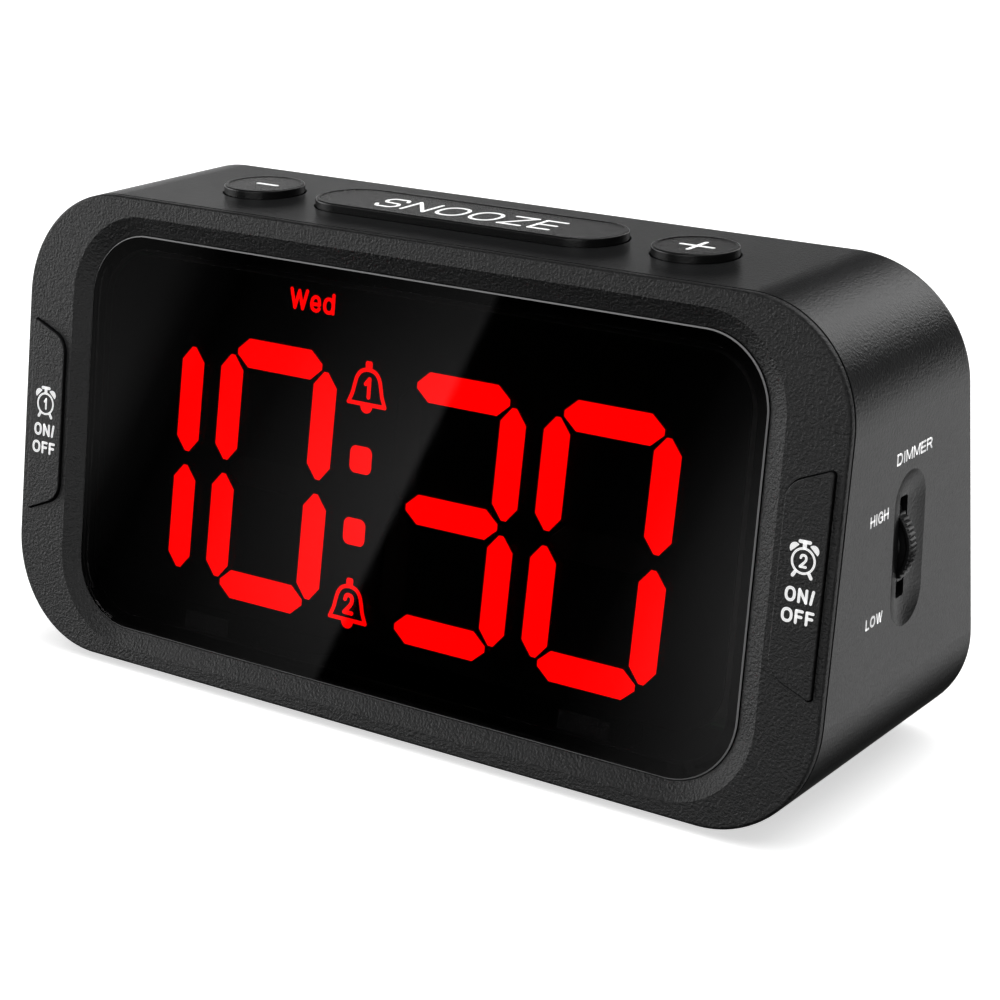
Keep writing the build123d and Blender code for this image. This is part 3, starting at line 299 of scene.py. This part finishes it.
def stroke(path, width, thick):
    """Flat stroke with round ends, as a closed solid.

    A low section with chamfered upper corners is carried along the path. Past each end its half-width
    follows a quarter circle, which rounds the stroke off.
    """
    path = np.array(path, float)
    along = np.gradient(path, axis=0)
    along /= np.linalg.norm(along, axis=1, keepdims=True)
    half = width / 2
    lift = np.radians([84.0, 66.0, 45.0, 22.0])
    first = path[0] - along[0] * half * np.sin(lift)[:, None]
    last = path[-1] + along[-1] * half * np.sin(lift[::-1])[:, None]
    centre = np.vstack([first, path, last])
    along = np.vstack([np.repeat(along[:1], 4, 0), along, np.repeat(along[-1:], 4, 0)])
    wide = np.concatenate([np.cos(lift), np.ones(len(path)), np.cos(lift[::-1])]) * half
    across = np.stack([-along[:, 1], along[:, 0]], 1)
    section = np.array([(-1.0, 0.0), (1.0, 0.0), (1.0, 0.7), (0.94, 1.0), (-0.94, 1.0), (-1.0, 0.7)])
    flat = centre[:, None] - across[:, None] * wide[:, None, None] * section[None, :, :1]
    rise = np.broadcast_to(section[None, :, 1:] * thick, flat.shape[:2] + (1,))
    points = np.concatenate([flat, rise], 2).reshape(-1, 3)
    rings, sides = len(centre), len(section)
    ring, side = np.meshgrid(np.arange(rings - 1), np.arange(sides), indexing="ij")
    nxt = (side + 1) % sides
    faces = np.stack([ring * sides + side, ring * sides + nxt, (ring + 1) * sides + nxt,
                      (ring + 1) * sides + side], -1)
    faces = [tuple(face) for face in faces.reshape(-1, 4)[:, ::-1].tolist()]
    faces.append(tuple(range(sides)))
    faces.append(tuple(range(rings * sides - 1, (rings - 1) * sides - 1, -1)))
    return points, faces


def loop(path, width, thick):
    """Closed stroke: the same section carried round a ring of points and joined to its start."""
    path = np.array(path, float)
    along = np.roll(path, -1, 0) - np.roll(path, 1, 0)
    along /= np.linalg.norm(along, axis=1, keepdims=True)
    across = np.stack([-along[:, 1], along[:, 0]], 1)
    section = np.array([(-1.0, 0.0), (1.0, 0.0), (1.0, 0.7), (0.94, 1.0), (-0.94, 1.0), (-1.0, 0.7)])
    flat = path[:, None] - across[:, None] * (width / 2) * section[None, :, :1]
    rise = np.broadcast_to(section[None, :, 1:] * thick, flat.shape[:2] + (1,))
    points = np.concatenate([flat, rise], 2).reshape(-1, 3)
    rings, sides = len(path), len(section)
    ring, side = np.meshgrid(np.arange(rings), np.arange(sides), indexing="ij")
    nxt, after = (side + 1) % sides, (ring + 1) % rings
    faces = np.stack([ring * sides + side, ring * sides + nxt, after * sides + nxt,
                      after * sides + side], -1)
    return points, [tuple(face) for face in faces.reshape(-1, 4)[:, ::-1].tolist()]


def patch(outline, thick):
    """Filled flat shape with a thickness: its outline at two heights, joined round the edge."""
    outline = np.array(outline, float)
    count = len(outline)
    low = np.column_stack([outline, np.zeros(count)])
    high = np.column_stack([outline, np.full(count, thick)])
    i = np.arange(count)
    rim = np.stack([i, (i + 1) % count, (i + 1) % count + count, i + count], 1)
    faces = [tuple(face) for face in rim.tolist()]
    faces.append(tuple(range(count - 1, -1, -1)))
    faces.append(tuple(range(count, 2 * count)))
    return np.vstack([low, high]), faces


def arc(middle, radius, start, end, steps=24):
    """Points on a circle from one angle to another, in degrees."""
    angle = np.radians(np.linspace(start, end, steps))
    return np.stack([middle[0] + radius * np.cos(angle), middle[1] + radius * np.sin(angle)], 1)


def shifted(piece, right, up):
    """The same (points, faces) moved in its own plane."""
    points, faces = piece
    return points + np.array([right, up, 0.0]), faces


# Each letter fills a box from -1 to 1 both ways. A run is drawn straight from point to
# point, a bend is a smooth curve through its points, and a ring is closed.
LETTERS = {
    "S": (1.00, [("bend", [(0.95, 0.58), (0.62, 0.97), (0.0, 1.0), (-0.66, 0.96), (-0.98, 0.55),
                           (-0.66, 0.10), (0.0, 0.0),
                           (0.68, -0.10), (1.0, -0.54), (0.68, -0.96), (0.0, -1.0), (-0.62,
                                                                                     -0.97), (-0.98,
                                                                                              -0.56)])]),
    "N": (1.05, [("run", [(-1, -1), (-1, 1), (1, -1), (1, 1)])]),
    "O": (1.15, [("ring", (0, 0, 1, 1))]),
    "Z": (1.00, [("run", [(-1, 1), (1, 1), (-1, -1), (1, -1)])]),
    "E": (0.92, [("run", [(1, 1), (-1, 1), (-1, -1), (1, -1)]), ("run", [(-1, 0), (0.85, 0)])]),
    "F": (0.86, [("run", [(1, 1), (-1, 1), (-1, -1)]), ("run", [(-1, 0.02), (0.75, 0.02)])]),
    "D": (1.02, [("run", [(-1, -1), (-1, 1), (0, 1)]), ("run", [(-1, -1), (0, -1)]),
                 ("bend", [(0, 1), (0.62, 0.80), (1, 0), (0.62, -0.80), (0, -1)])]),
    "I": (0.28, [("run", [(0, -1), (0, 1)])]),
    "M": (1.20, [("run", [(-1, -1), (-1, 1), (0, -0.75), (1, 1), (1, -1)])]),
    "R": (1.02, [("run", [(-1, -1), (-1, 1), (0.2, 1)]), ("run", [(-1, 0.0), (0.2, 0.0), (1, -1)]),
                 ("bend", [(0.2, 1), (0.78, 0.86), (0.94, 0.50), (0.78, 0.14), (0.2, 0.0)])]),
    "H": (1.02, [("run", [(-1, -1), (-1, 1)]), ("run", [(-1, 0), (1, 0)]), ("run", [(1, -1), (1, 1)])]),
    "G": (1.12, [("bend", [(0.92, 0.52), (0.55, 0.92), (0, 1), (-0.72, 0.74), (-1, 0), (-0.72, -0.74),
                           (0, -1), (0.6, -0.92),
                           (0.98, -0.62)]), ("run", [(0.98, -0.62), (0.98, -0.06), (0.2, -0.06)])]),
    "L": (0.82, [("run", [(-1, 1), (-1, -1), (1, -1)])]),
    "W": (1.42, [("run", [(-1, 1), (-0.5, -1), (0, 0.9), (0.5, -1), (1, 1)])]),
    "/": (0.50, [("run", [(-0.9, -1), (0.9, 1)])]),
    "e": (0.84, [("run", [(-0.9, -0.30), (0.95, -0.30)]),
                 ("bend", [(0.95, -0.30), (0.72, 0.30), (0, 0.52), (-0.74, 0.28), (-1, -0.26),
                           (-0.74, -0.80), (0, -1.0),
                           (0.60, -0.94), (0.9, -0.74)])]),
    "d": (0.88, [("run", [(1, -1), (1, 1)]), ("ring", (-0.02, -0.25, 0.98, 0.75))]),
    "1": (0.50, [("run", [(0.55, -1), (0.55, 1), (-0.85, 0.42)])]),
    "2": (0.86, [("bend", [(-0.95, 0.50), (-0.66, 0.90), (0, 1.0), (0.72, 0.86), (0.92, 0.42),
                           (0.52, -0.12), (-0.95, -1)]),
                 ("run", [(-0.95, -1), (1, -1)])]),
}


def lettering(words, middle, size, weight, thick, gap=0.16):
    """Words in even strokes, fitted to a box: size is its width and height, gap the space by its height.

    Letter widths share out what the gaps leave, in the proportions of the table.
    """
    shares = np.array([LETTERS[letter][0] for letter in words])
    wide = (size[0] - gap * size[1] * (len(words) - 1)) * shares / shares.sum()
    wide = np.maximum(wide, weight)
    left = middle[0] - size[0] / 2
    drawn = []
    for letter, across in zip(words, wide):
        reach = np.array([max(across - weight, 0.0) / 2, (size[1] - weight) / 2])
        spot = np.array([left + across / 2, middle[1]])
        for kind, shape in LETTERS[letter][1]:
            if kind == "ring":
                angle = np.radians(np.arange(0, 360, 9))
                c, s = np.cos(angle), np.sin(angle)
                ring = np.stack([shape[0] + shape[2] * np.sign(c) * np.abs(c) ** 0.85,
                                 shape[1] + shape[3] * np.sign(s) * np.abs(s) ** 0.85], 1)
                drawn.append(loop(ring * reach + spot, weight, thick))
            elif kind == "bend":
                drawn.append(stroke(smooth(np.array(shape) * reach + spot, 6), weight, thick))
            else:
                corners = np.array(shape) * reach + spot
                drawn += [stroke(np.linspace(a, b, 3), weight, thick) for a,
                          b in zip(corners[:-1], corners[1:])]
        left += across + gap * size[1]
    return gather(drawn)


def printed(name, colour, rough):
    """Pad-printed ink: nearly even, with thin spots where the grain below takes less of it. Its white
    emission is a painted glow: the ink shines by itself, though it is no lamp.
    """
    finish, tree, out = new_finish(name)
    place = object_place(tree)
    fine = wire(tree, "ShaderNodeTexNoise", {"Vector": place, "Scale": 5200.0, "Detail": 2.0})
    broad = wire(tree, "ShaderNodeTexNoise", {"Vector": place, "Scale": 700.0, "Detail": 2.0})
    thin = wire(tree, "ShaderNodeMath", {0: fine.outputs[0], 1: broad.outputs[0]}, operation="MULTIPLY")
    tone = ramp(tree, thin.outputs[0], [(0.08, colour * 0.72), (0.2, colour)])
    relief = wire(tree, "ShaderNodeBump", {"Strength": 0.5, "Distance": 0.01 * mm,
                                           "Height": fine.outputs[0]})
    # Painted glow: the white emission makes the ink shine by itself, though ink gives no light.
    skin = wire(tree, "ShaderNodeBsdfPrincipled", {
        "Base Color": tone, "Roughness": rough, "Normal": relief.outputs[0],
        "Emission Color": (1.0, 1.0, 1.0, 1.0), "Emission Strength": 0.40})
    tree.links.new(skin.outputs[0], out.inputs[0])
    return finish


# White ink with a painted glow from its emission.
white_ink_painted_glow = printed("white_ink_painted_glow", 0.90, 0.5)
right_side = ((75.0, 0, 0), (0, 1, 0), (0, 0, 1), (1, 0, 0))
marks = gather([
    lettering("DIMMER", (0.75, 52.15), (10.9, 1.75), 0.31, 0.02),
    lettering("HIGH", (-9.3, 45.15), (5.4, 1.7), 0.31, 0.02),
    lettering("LOW", (-9.5, 30.3), (5.0, 1.65), 0.32, 0.02),
])
solid("dimmer_marks", lay(marks[0], right_side), marks[1], white_ink_painted_glow, "root")

# ------------------------------------------------------------------ front bezel
# Separate moulding with a sloping surround, snapped and screwed into the housing.
# Its grain is deeper than the case's, and it is a little less glossy.
bezel_plastic = moulded("bezel_plastic", (0.007, 0.0071, 0.0074), 0.38, grain=0.42, depth=0.20,
                        cloud=0.08, rub=0.02)
finish_node(bezel_plastic, "front_bezel")

# ------------------------------------------------------------------ window and its tape
# Smoked acrylic, cut with a small frosted chamfer and held on its ledge by a frame
# of black foam tape. LEAN is how far the whole front leans back.
LEAN = math.radians(8.0)
finish, tree, out = new_finish("window_acrylic")
place = object_place(tree)
drift = wire(tree, "ShaderNodeTexNoise", {"Vector": place, "Scale": 22.0, "Detail": 2.0})
hair = wire(tree, "ShaderNodeTexNoise", {"Vector": wire(tree, "ShaderNodeMapping", {
    0: place, 3: (900.0, 900.0, 40.0)}).outputs[0], "Scale": 1.0, "Detail": 2.0})
smoke = wire(tree, "ShaderNodeMix", {0: drift.outputs[0], 6: (0.27, 0.262, 0.264, 1.0),
                                     7: (0.31, 0.302, 0.304, 1.0)},
             data_type="RGBA")
polish = wire(tree, "ShaderNodeMapRange", {0: hair.outputs[0], 1: 0.35, 2: 0.75, 3: 0.005, 4: 0.03})
ripple = wire(tree, "ShaderNodeBump", {"Strength": 0.12, "Distance": 0.02 * mm, "Height": drift.outputs[0]})
skin = wire(tree, "ShaderNodeBsdfPrincipled", {
    "Base Color": smoke.outputs[2], "Roughness": polish.outputs[0], "IOR": 1.49, "Transmission Weight": 1.0,
    "Normal": ripple.outputs[0]})
# The cutter leaves the chamfer frosted: there the face points neither forward nor sideways.
facing = wire(tree, "ShaderNodeVectorMath", {
    0: wire(tree, "ShaderNodeNewGeometry").outputs["True Normal"], 1: (0.0, -math.cos(LEAN),
                                                                       math.sin(LEAN))},
    operation="DOT_PRODUCT")
on_chamfer = ramp(tree, facing.outputs["Value"], [(0.30, 0.0), (0.40, 1.0), (0.90, 1.0), (0.96, 0.0)],
                  "LINEAR")
frost = wire(tree, "ShaderNodeBsdfPrincipled", {"Base Color": (0.38, 0.38, 0.385, 1.0), "Roughness": 0.45})
edge = wire(tree, "ShaderNodeMixShader", {0: on_chamfer, 1: skin.outputs[0], 2: frost.outputs[0]})
tree.links.new(edge.outputs[0], out.inputs[0])
finish_node(finish, "display_window")

finish, tree, out = new_finish("foam_tape")
place = object_place(tree)
cells = wire(tree, "ShaderNodeTexVoronoi", {"Vector": place, "Scale": 4500.0})
tone = ramp(tree, cells.outputs["Distance"], [(0.1, 0.0012), (0.6, 0.0026)])
relief = wire(tree, "ShaderNodeBump", {"Strength": 0.8, "Distance": 0.06 * mm,
                                       "Height": cells.outputs["Distance"]})
skin = wire(tree, "ShaderNodeBsdfPrincipled", {"Base Color": tone, "Roughness": 0.9,
                                               "Specular IOR Level": 0.05,
                                               "Normal": relief.outputs[0]})
tree.links.new(skin.outputs[0], out.inputs[0])
finish_node(finish, "window_tape")

# ------------------------------------------------------------------ display stack
# Black printed film over a white light box; a lens fills each segment's pocket,
# and its lamps stand on the green board behind.
finish, tree, out = new_finish("printed_film")
place = object_place(tree)
dots = wire(tree, "ShaderNodeTexVoronoi", {"Vector": place, "Scale": 6000.0})
tone = ramp(tree, dots.outputs["Distance"], [(0.2, 0.0016), (0.7, 0.0028)])
relief = wire(tree, "ShaderNodeBump", {"Strength": 0.3, "Distance": 0.01 * mm,
                                       "Height": dots.outputs["Distance"]})
skin = wire(tree, "ShaderNodeBsdfPrincipled", {"Base Color": tone, "Roughness": 0.55,
                                               "Specular IOR Level": 0.05,
                                               "Normal": relief.outputs[0]})
tree.links.new(skin.outputs[0], out.inputs[0])
finish_node(finish, "legend_film")


def glowing(name, power):
    """Diffusing lens lit from behind: near-even red, a trace stronger in soft random patches."""
    finish, tree, out = new_finish(name)
    place = object_place(tree)
    soft = wire(tree, "ShaderNodeTexNoise", {"Vector": place, "Scale": 160.0, "Detail": 2.0})
    grit = wire(tree, "ShaderNodeTexNoise", {"Vector": place, "Scale": 3000.0, "Detail": 2.0})
    hot = wire(tree, "ShaderNodeMix", {0: soft.outputs[0], 6: (0.93, 0.0, 0.0, 1.0),
                                       7: (1.0, 0.0002, 0.0002, 1.0)},
               data_type="RGBA")
    relief = wire(tree, "ShaderNodeBump", {"Strength": 0.3, "Distance": 0.02 * mm,
                                           "Height": grit.outputs[0]})
    skin = wire(tree, "ShaderNodeBsdfPrincipled", {
        "Base Color": (0.10, 0.0005, 0.0005, 1.0), "Roughness": 0.5, "Specular IOR Level": 0.1,
        "Normal": relief.outputs[0],
        "Emission Color": hot.outputs[2], "Emission Strength": power})
    tree.links.new(skin.outputs[0], out.inputs[0])
    return finish


lit_lens = glowing("lit_lens", 4.6)
finish_node(lit_lens, "segments_lit")
dark_lens = moulded("dark_lens", (0.006, 0.0016, 0.0016), 0.5, grain=0.3, depth=0.01, level=0.2)
finish_node(dark_lens, "segments_dark", "legend_lenses")
light_box_plastic = moulded("light_box_plastic", (0.72, 0.71, 0.68), 0.35, grain=0.5, depth=0.01,
                            cloud=0.05)
finish_node(light_box_plastic, "light_box")
lamp_package = moulded("lamp_package", (0.80, 0.74, 0.52), 0.25, grain=0.3, depth=0.005, cloud=0.2,
                       coat=0.5)
finish_node(lamp_package, "display_lamps")

# ------------------------------------------------------------------ bells and day name
# The film's see-through signs that are lit: the day name, and a bell with its
# number for each of the two alarms.
front_up = (0.0, math.sin(LEAN), math.cos(LEAN))
front_out = (0.0, -math.cos(LEAN), math.sin(LEAN))


def front_face(height):
    """The leaning front plane, so many mm out from the bezel's face (in when negative)."""
    start = np.array([0.0, -27.0, 1.2]) + np.array(front_out) * height
    return (start, (1, 0, 0), front_up, front_out)


def bell(number, thick):
    """Bell sign 8 mm tall: flared body and rim line as strokes, knob, clapper and number."""
    body = smooth([(-3.42, -2.6), (-2.78, -1.1), (-2.42, 0.4), (-2.06, 1.5), (-1.28, 2.36), (0, 2.68),
                   (1.28, 2.36), (2.06, 1.5), (2.42, 0.4), (2.78, -1.1), (3.42, -2.6)], 6)
    rim = np.linspace((-3.42, -2.6), (3.42, -2.6), 6)
    clapper = arc((0, -2.85), 1.1, 180, 360, 14)
    knob = np.array([(-0.62, 2.8), (0.62, 2.8), (0.62, 3.75), (0.4, 3.98), (-0.4, 3.98), (-0.62, 3.75)])
    return gather([stroke(body, 0.62, thick), stroke(rim, 0.62, thick), patch(clapper, thick),
                   patch(knob, thick),
                   lettering(number, (0, -0.1), (2.1 if number == "2" else 1.6, 3.4), 0.66, thick)])


display_plane = front_face(-2.84)
signs = gather([
    lettering("Wed", (-18.0, 63.6), (8.7, 3.3), 0.56, 0.08, 0.12),
    shifted(bell("1", 0.08), -6.4, 52.1),
    shifted(bell("2", 0.08), -7.2, 18.5),
])
solid("lit_signs", lay(signs[0], display_plane), signs[1], lit_lens, "root")

# ------------------------------------------------------------------ circuit boards
# Green solder mask over copper on glass-epoxy: the display board, the main board
# upright behind it, and the button board under the top.
finish, tree, out = new_finish("circuit_board")
place = object_place(tree)
weave = wire(tree, "ShaderNodeTexNoise", {"Vector": place, "Scale": 1800.0, "Detail": 2.0})
tracks = wire(tree, "ShaderNodeTexBrick", {
    "Vector": wire(tree, "ShaderNodeMapping", {0: place, 2: (math.radians(90), 0.0, 0.0),
                                               3: (160.0, 160.0, 160.0)}).outputs[0],
    "Color1": (0.010, 0.090, 0.034, 1.0), "Color2": (0.014, 0.115, 0.046, 1.0), "Mortar": (0.05, 0.20,
                                                                                           0.075, 1.0),
    "Scale": 1.0, "Mortar Size": 0.03, "Brick Width": 1.7, "Row Height": 0.4})
relief = wire(tree, "ShaderNodeBump", {"Strength": 0.5, "Distance": 0.03 * mm,
                                       "Height": tracks.outputs["Fac"]})
shine = wire(tree, "ShaderNodeMapRange", {0: weave.outputs[0], 1: 0.3, 2: 0.7, 3: 0.25, 4: 0.40})
skin = wire(tree, "ShaderNodeBsdfPrincipled", {"Base Color": tracks.outputs[0],
                                               "Roughness": shine.outputs[0],
                                               "Normal": relief.outputs[0]})
tree.links.new(skin.outputs[0], out.inputs[0])
finish_node(finish, "display_board", "main_board", "button_board")

# ------------------------------------------------------------------ parts on the boards
# Push switches and their plungers, chips, capacitors, sounder, headers, the folded
# ribbon between the boards and the dimmer's potentiometer.


def worked_metal(name, colour, rough, scratch=(2500.0, 2500.0, 2500.0), depth=0.004, tarnish=0.15):
    """Plated or drawn metal: fine tool lines as bump, duller and darker in patches."""
    finish, tree, out = new_finish(name)
    place = object_place(tree)
    lines = wire(tree, "ShaderNodeTexNoise", {
        "Vector": wire(tree, "ShaderNodeMapping",
                       {0: place, 3: scratch}).outputs[0], "Scale": 1.0, "Detail": 3.0})
    patches = wire(tree, "ShaderNodeTexNoise", {"Vector": place, "Scale": 260.0, "Detail": 3.0})
    tone = wire(tree, "ShaderNodeMix", {
        0: patches.outputs[0],
        6: tuple(c * (1 - tarnish) for c in colour) + (1.0,),
        7: tuple(min(1.0, c * (1 + tarnish)) for c in colour) + (1.0,)}, data_type="RGBA")
    shine = wire(tree, "ShaderNodeMapRange", {0: patches.outputs[0], 1: 0.3, 2: 0.7, 3: rough - 0.06,
                                              4: rough + 0.08})
    relief = wire(tree, "ShaderNodeBump", {"Strength": 0.6, "Distance": depth * mm,
                                           "Height": lines.outputs[0]})
    skin = wire(tree, "ShaderNodeBsdfPrincipled", {
        "Base Color": tone.outputs[2], "Metallic": 1.0, "Roughness": shine.outputs[0],
        "Normal": relief.outputs[0]})
    tree.links.new(skin.outputs[0], out.inputs[0])
    return finish


switch_plastic = moulded("switch_plastic", (0.028, 0.028, 0.030), 0.30, grain=0.35, depth=0.006)
finish_node(switch_plastic, "alarm_switches", "top_switches", "rear_switches", "dimmer_pot")
plunger_plastic = moulded("plunger_plastic", (0.045, 0.044, 0.043), 0.28, grain=0.4, depth=0.005)
finish_node(plunger_plastic, "minus_plunger", "plus_plunger", "snooze_plunger", "alarm_1_plunger",
            "alarm_2_plunger",
            "clock_set_plunger", "alarm_set_plunger")
chip_epoxy = moulded("chip_epoxy", (0.018, 0.018, 0.020), 0.62, grain=0.12, depth=0.012, cloud=0.2)
finish_node(chip_epoxy, "main_chips")
capacitor_can = worked_metal("capacitor_can", (0.72, 0.74, 0.77), 0.30, (2600.0, 300.0, 2600.0))
finish_node(capacitor_can, "capacitors")
sounder_plastic = moulded("sounder_plastic", (0.022, 0.022, 0.024), 0.34, grain=0.35, depth=0.006)
finish_node(sounder_plastic, "sounder", "power_inlet")
connector_plastic = moulded("connector_plastic", (0.68, 0.65, 0.56), 0.48, grain=0.4, depth=0.01,
                            cloud=0.06)
finish_node(connector_plastic, "board_header", "ribbon_sockets")
finish, tree, out = new_finish("ribbon_vinyl")
place = object_place(tree)
wires_across = wire(tree, "ShaderNodeTexWave", {"Vector": place, "Scale": 250.0, "Distortion": 0.2},
                    bands_direction="X")
tone = ramp(tree, wires_across.outputs[0], [(0.1, 0.30), (0.6, 0.44)])
relief = wire(tree, "ShaderNodeBump", {"Strength": 0.8, "Distance": 0.2 * mm,
                                       "Height": wires_across.outputs[0]})
skin = wire(tree, "ShaderNodeBsdfPrincipled", {"Base Color": tone, "Roughness": 0.45,
                                               "Normal": relief.outputs[0]})
tree.links.new(skin.outputs[0], out.inputs[0])
finish_node(finish, "ribbon")
contact_metal = worked_metal("contact_metal", (0.80, 0.78, 0.74), 0.20)
finish_node(contact_metal, "inlet_pin", "cell_contact", "dimmer_shaft")
screw_steel = worked_metal("screw_steel", (0.62, 0.62, 0.64), 0.30, (1800.0, 1800.0, 600.0), tarnish=0.2)
finish_node(screw_steel, "display_screws", "button_board_screws", "main_board_screws", "case_screws")
cell_steel = worked_metal("cell_steel", (0.72, 0.71, 0.69), 0.22, (500.0, 3800.0, 3800.0))
finish_node(cell_steel, "backup_cell")

# ------------------------------------------------------------------ alarm keys
# A D-shaped key at each end of the bezel, printed with a twin-bell clock, its number and ON/OFF.
key_plastic = moulded("key_plastic", (0.007, 0.0071, 0.0074), 0.37, grain=0.40, depth=0.18, rub=0.02)
finish_node(key_plastic, "alarm_1_key", "alarm_2_key", "clock_set_key", "alarm_set_key")


def twin_bell(number, thick):
    """Twin-bell clock sign about 5 mm wide: ring, two domed bells, hammer bar, feet and number."""
    ring = loop(arc((0, 0), 1.70, 0, 360 - 360 / 48, 48), 0.33, thick)
    pieces = [ring, lettering(number, (0, 0.0), (1.25 if number == "2" else 0.85, 1.95), 0.36, thick)]
    pieces.append(stroke(np.linspace((-0.75, 2.62), (0.75, 2.62), 4), 0.50, thick))
    pieces.append(stroke(np.linspace((0, 1.9), (0, 2.5), 3), 0.62, thick))
    for side in (-1, 1):
        lean_out = 90 - side * 42
        middle = np.array([2.12 * math.cos(math.radians(lean_out)),
                           2.12 * math.sin(math.radians(lean_out))])
        pieces.append(patch(arc(middle, 0.80, lean_out - 90, lean_out + 90, 16), thick))
        foot = np.radians(-90 + side * 33)
        inner, outer = 1.85, 2.55
        pieces.append(stroke(np.linspace((inner * math.cos(foot), inner * math.sin(foot)),
                                         (outer * math.cos(foot), outer * math.sin(foot)), 4), 0.50, thick))
    return gather(pieces)


for body, middle, sign_up, on_up, off_up, number in (
    ("alarm_1", -70.0, 39.7, 35.35, 32.4, "1"),
    ("alarm_2", 70.2, 40.75, 36.0, 33.05, "2"),
):
    legend = gather([
        shifted(twin_bell(number, 0.02), middle, sign_up),
        lettering("ON/", (middle, on_up), (4.5, 2.1), 0.42, 0.02, 0.14),
        lettering("OFF", (middle, off_up), (5.0, 2.05), 0.42, 0.02, 0.14),
    ])
    solid(body + "_legend", lay(legend[0], front_face(0.5)), legend[1], white_ink_painted_glow, body)

# ------------------------------------------------------------------ minus, snooze and plus
# Two round buttons and a long bar in the top, each with one raised white mark.
button_plastic = moulded("button_plastic", (0.004, 0.0041, 0.0043), 0.26, grain=0.36, depth=0.04, rub=0.015)
finish_node(button_plastic, "minus_button", "plus_button", "snooze_bar")
top_face = ((0, 0, 77.0), (1, 0, 0), (0, 1, 0), (0, 0, 1))

minus = stroke(np.linspace((-40.9, -0.8), (-37.2, -0.8), 6), 0.75, 0.03)
solid("minus_mark", lay(minus[0], top_face), minus[1], white_ink_painted_glow, "minus")
plus = gather([
    stroke(np.linspace((37.7, -0.8), (42.9, -0.8), 6), 0.70, 0.03),
    stroke(np.linspace((40.3, -3.4), (40.3, 1.8), 6), 0.70, 0.03),
])
solid("plus_mark", lay(plus[0], top_face), plus[1], white_ink_painted_glow, "plus")
word = lettering("SNOOZE", (0.6, -1.25), (33.0, 5.9), 0.62, 0.03, 0.17)
solid("snooze_mark", lay(word[0], top_face), word[1], white_ink_painted_glow, "snooze")

# ------------------------------------------------------------------ dimmer wheel
# Black thumbwheel with a fine cut rim, pressed on the potentiometer's shaft.
wheel_plastic = moulded("wheel_plastic", (0.012, 0.012, 0.0125), 0.30, grain=0.4, depth=0.004, cloud=0.15)
wheel_at = (68.87, 0.1, 38.2)
teeth, radius, half = 52, 7.2, 1.0


def cut_wheel(steps):
    """Rim wheel: a closed profile turned about its shaft, with V grooves cut into the rim.

    The radius is the profile's, less a triangle wave of the angle where the profile
    is on the rim. The profile runs bore, front face, rim, back face, boss and bore.
    """
    profile = np.array([
        (1.5, -half), (4.6, -half), (5.2, -half + 0.22), (6.1, -half + 0.22), (6.45, -half), (6.8, -half),
        (radius - 0.18, -half + 0.06), (radius - 0.02, -half + 0.22), (radius, -half + 0.45), (radius, 0.0),
        (radius, half - 0.45), (radius - 0.02, half - 0.22), (radius - 0.18, half - 0.06), (6.8,
                                                                                            half), (3.0,
                                                                                                    half),
        (3.0, half + 0.3), (1.5, half + 0.3)])
    on_rim = np.clip((profile[:, 0] - 6.8) / 0.38, 0, 1)
    angle = np.linspace(0, 2 * np.pi, teeth * steps, endpoint=False)
    wave = 1 - np.abs(2 * ((angle * teeth / (2 * np.pi)) % 1.0) - 1)
    r = profile[None, :, 0] - 0.34 * on_rim[None, :] * (1 - wave[:, None]) ** 1.3
    x = r * np.cos(angle)[:, None]
    z = r * np.sin(angle)[:, None]
    y = np.broadcast_to(profile[None, :, 1], r.shape)
    points = np.stack([x, y, z], -1).reshape(-1, 3)
    rings, sides = len(angle), len(profile)
    ring, side = np.meshgrid(np.arange(rings), np.arange(sides), indexing="ij")
    nxt, after = (side + 1) % sides, (ring + 1) % rings
    faces = np.stack([ring * sides + side, ring * sides + nxt, after * sides + nxt,
                      after * sides + side], -1)
    return points, [tuple(face) for face in faces.reshape(-1, 4).tolist()]


wheel = cut_wheel(8)
wheel = solid("knurled_wheel", (wheel[0] + np.array(wheel_at)) * mm, wheel[1], wheel_plastic, "dimmer")
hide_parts("dimmer_wheel")

# ------------------------------------------------------------------ feet
# Four black rubber discs stuck in shallow recesses of the floor.
foot_rubber = moulded("foot_rubber", (0.020, 0.020, 0.020), 0.75, grain=0.3, depth=0.03, cloud=0.25,
                      rub=0.08, level=0.3)
finish_node(foot_rubber, "foot_front_left", "foot_back_left", "foot_front_right", "foot_back_right")
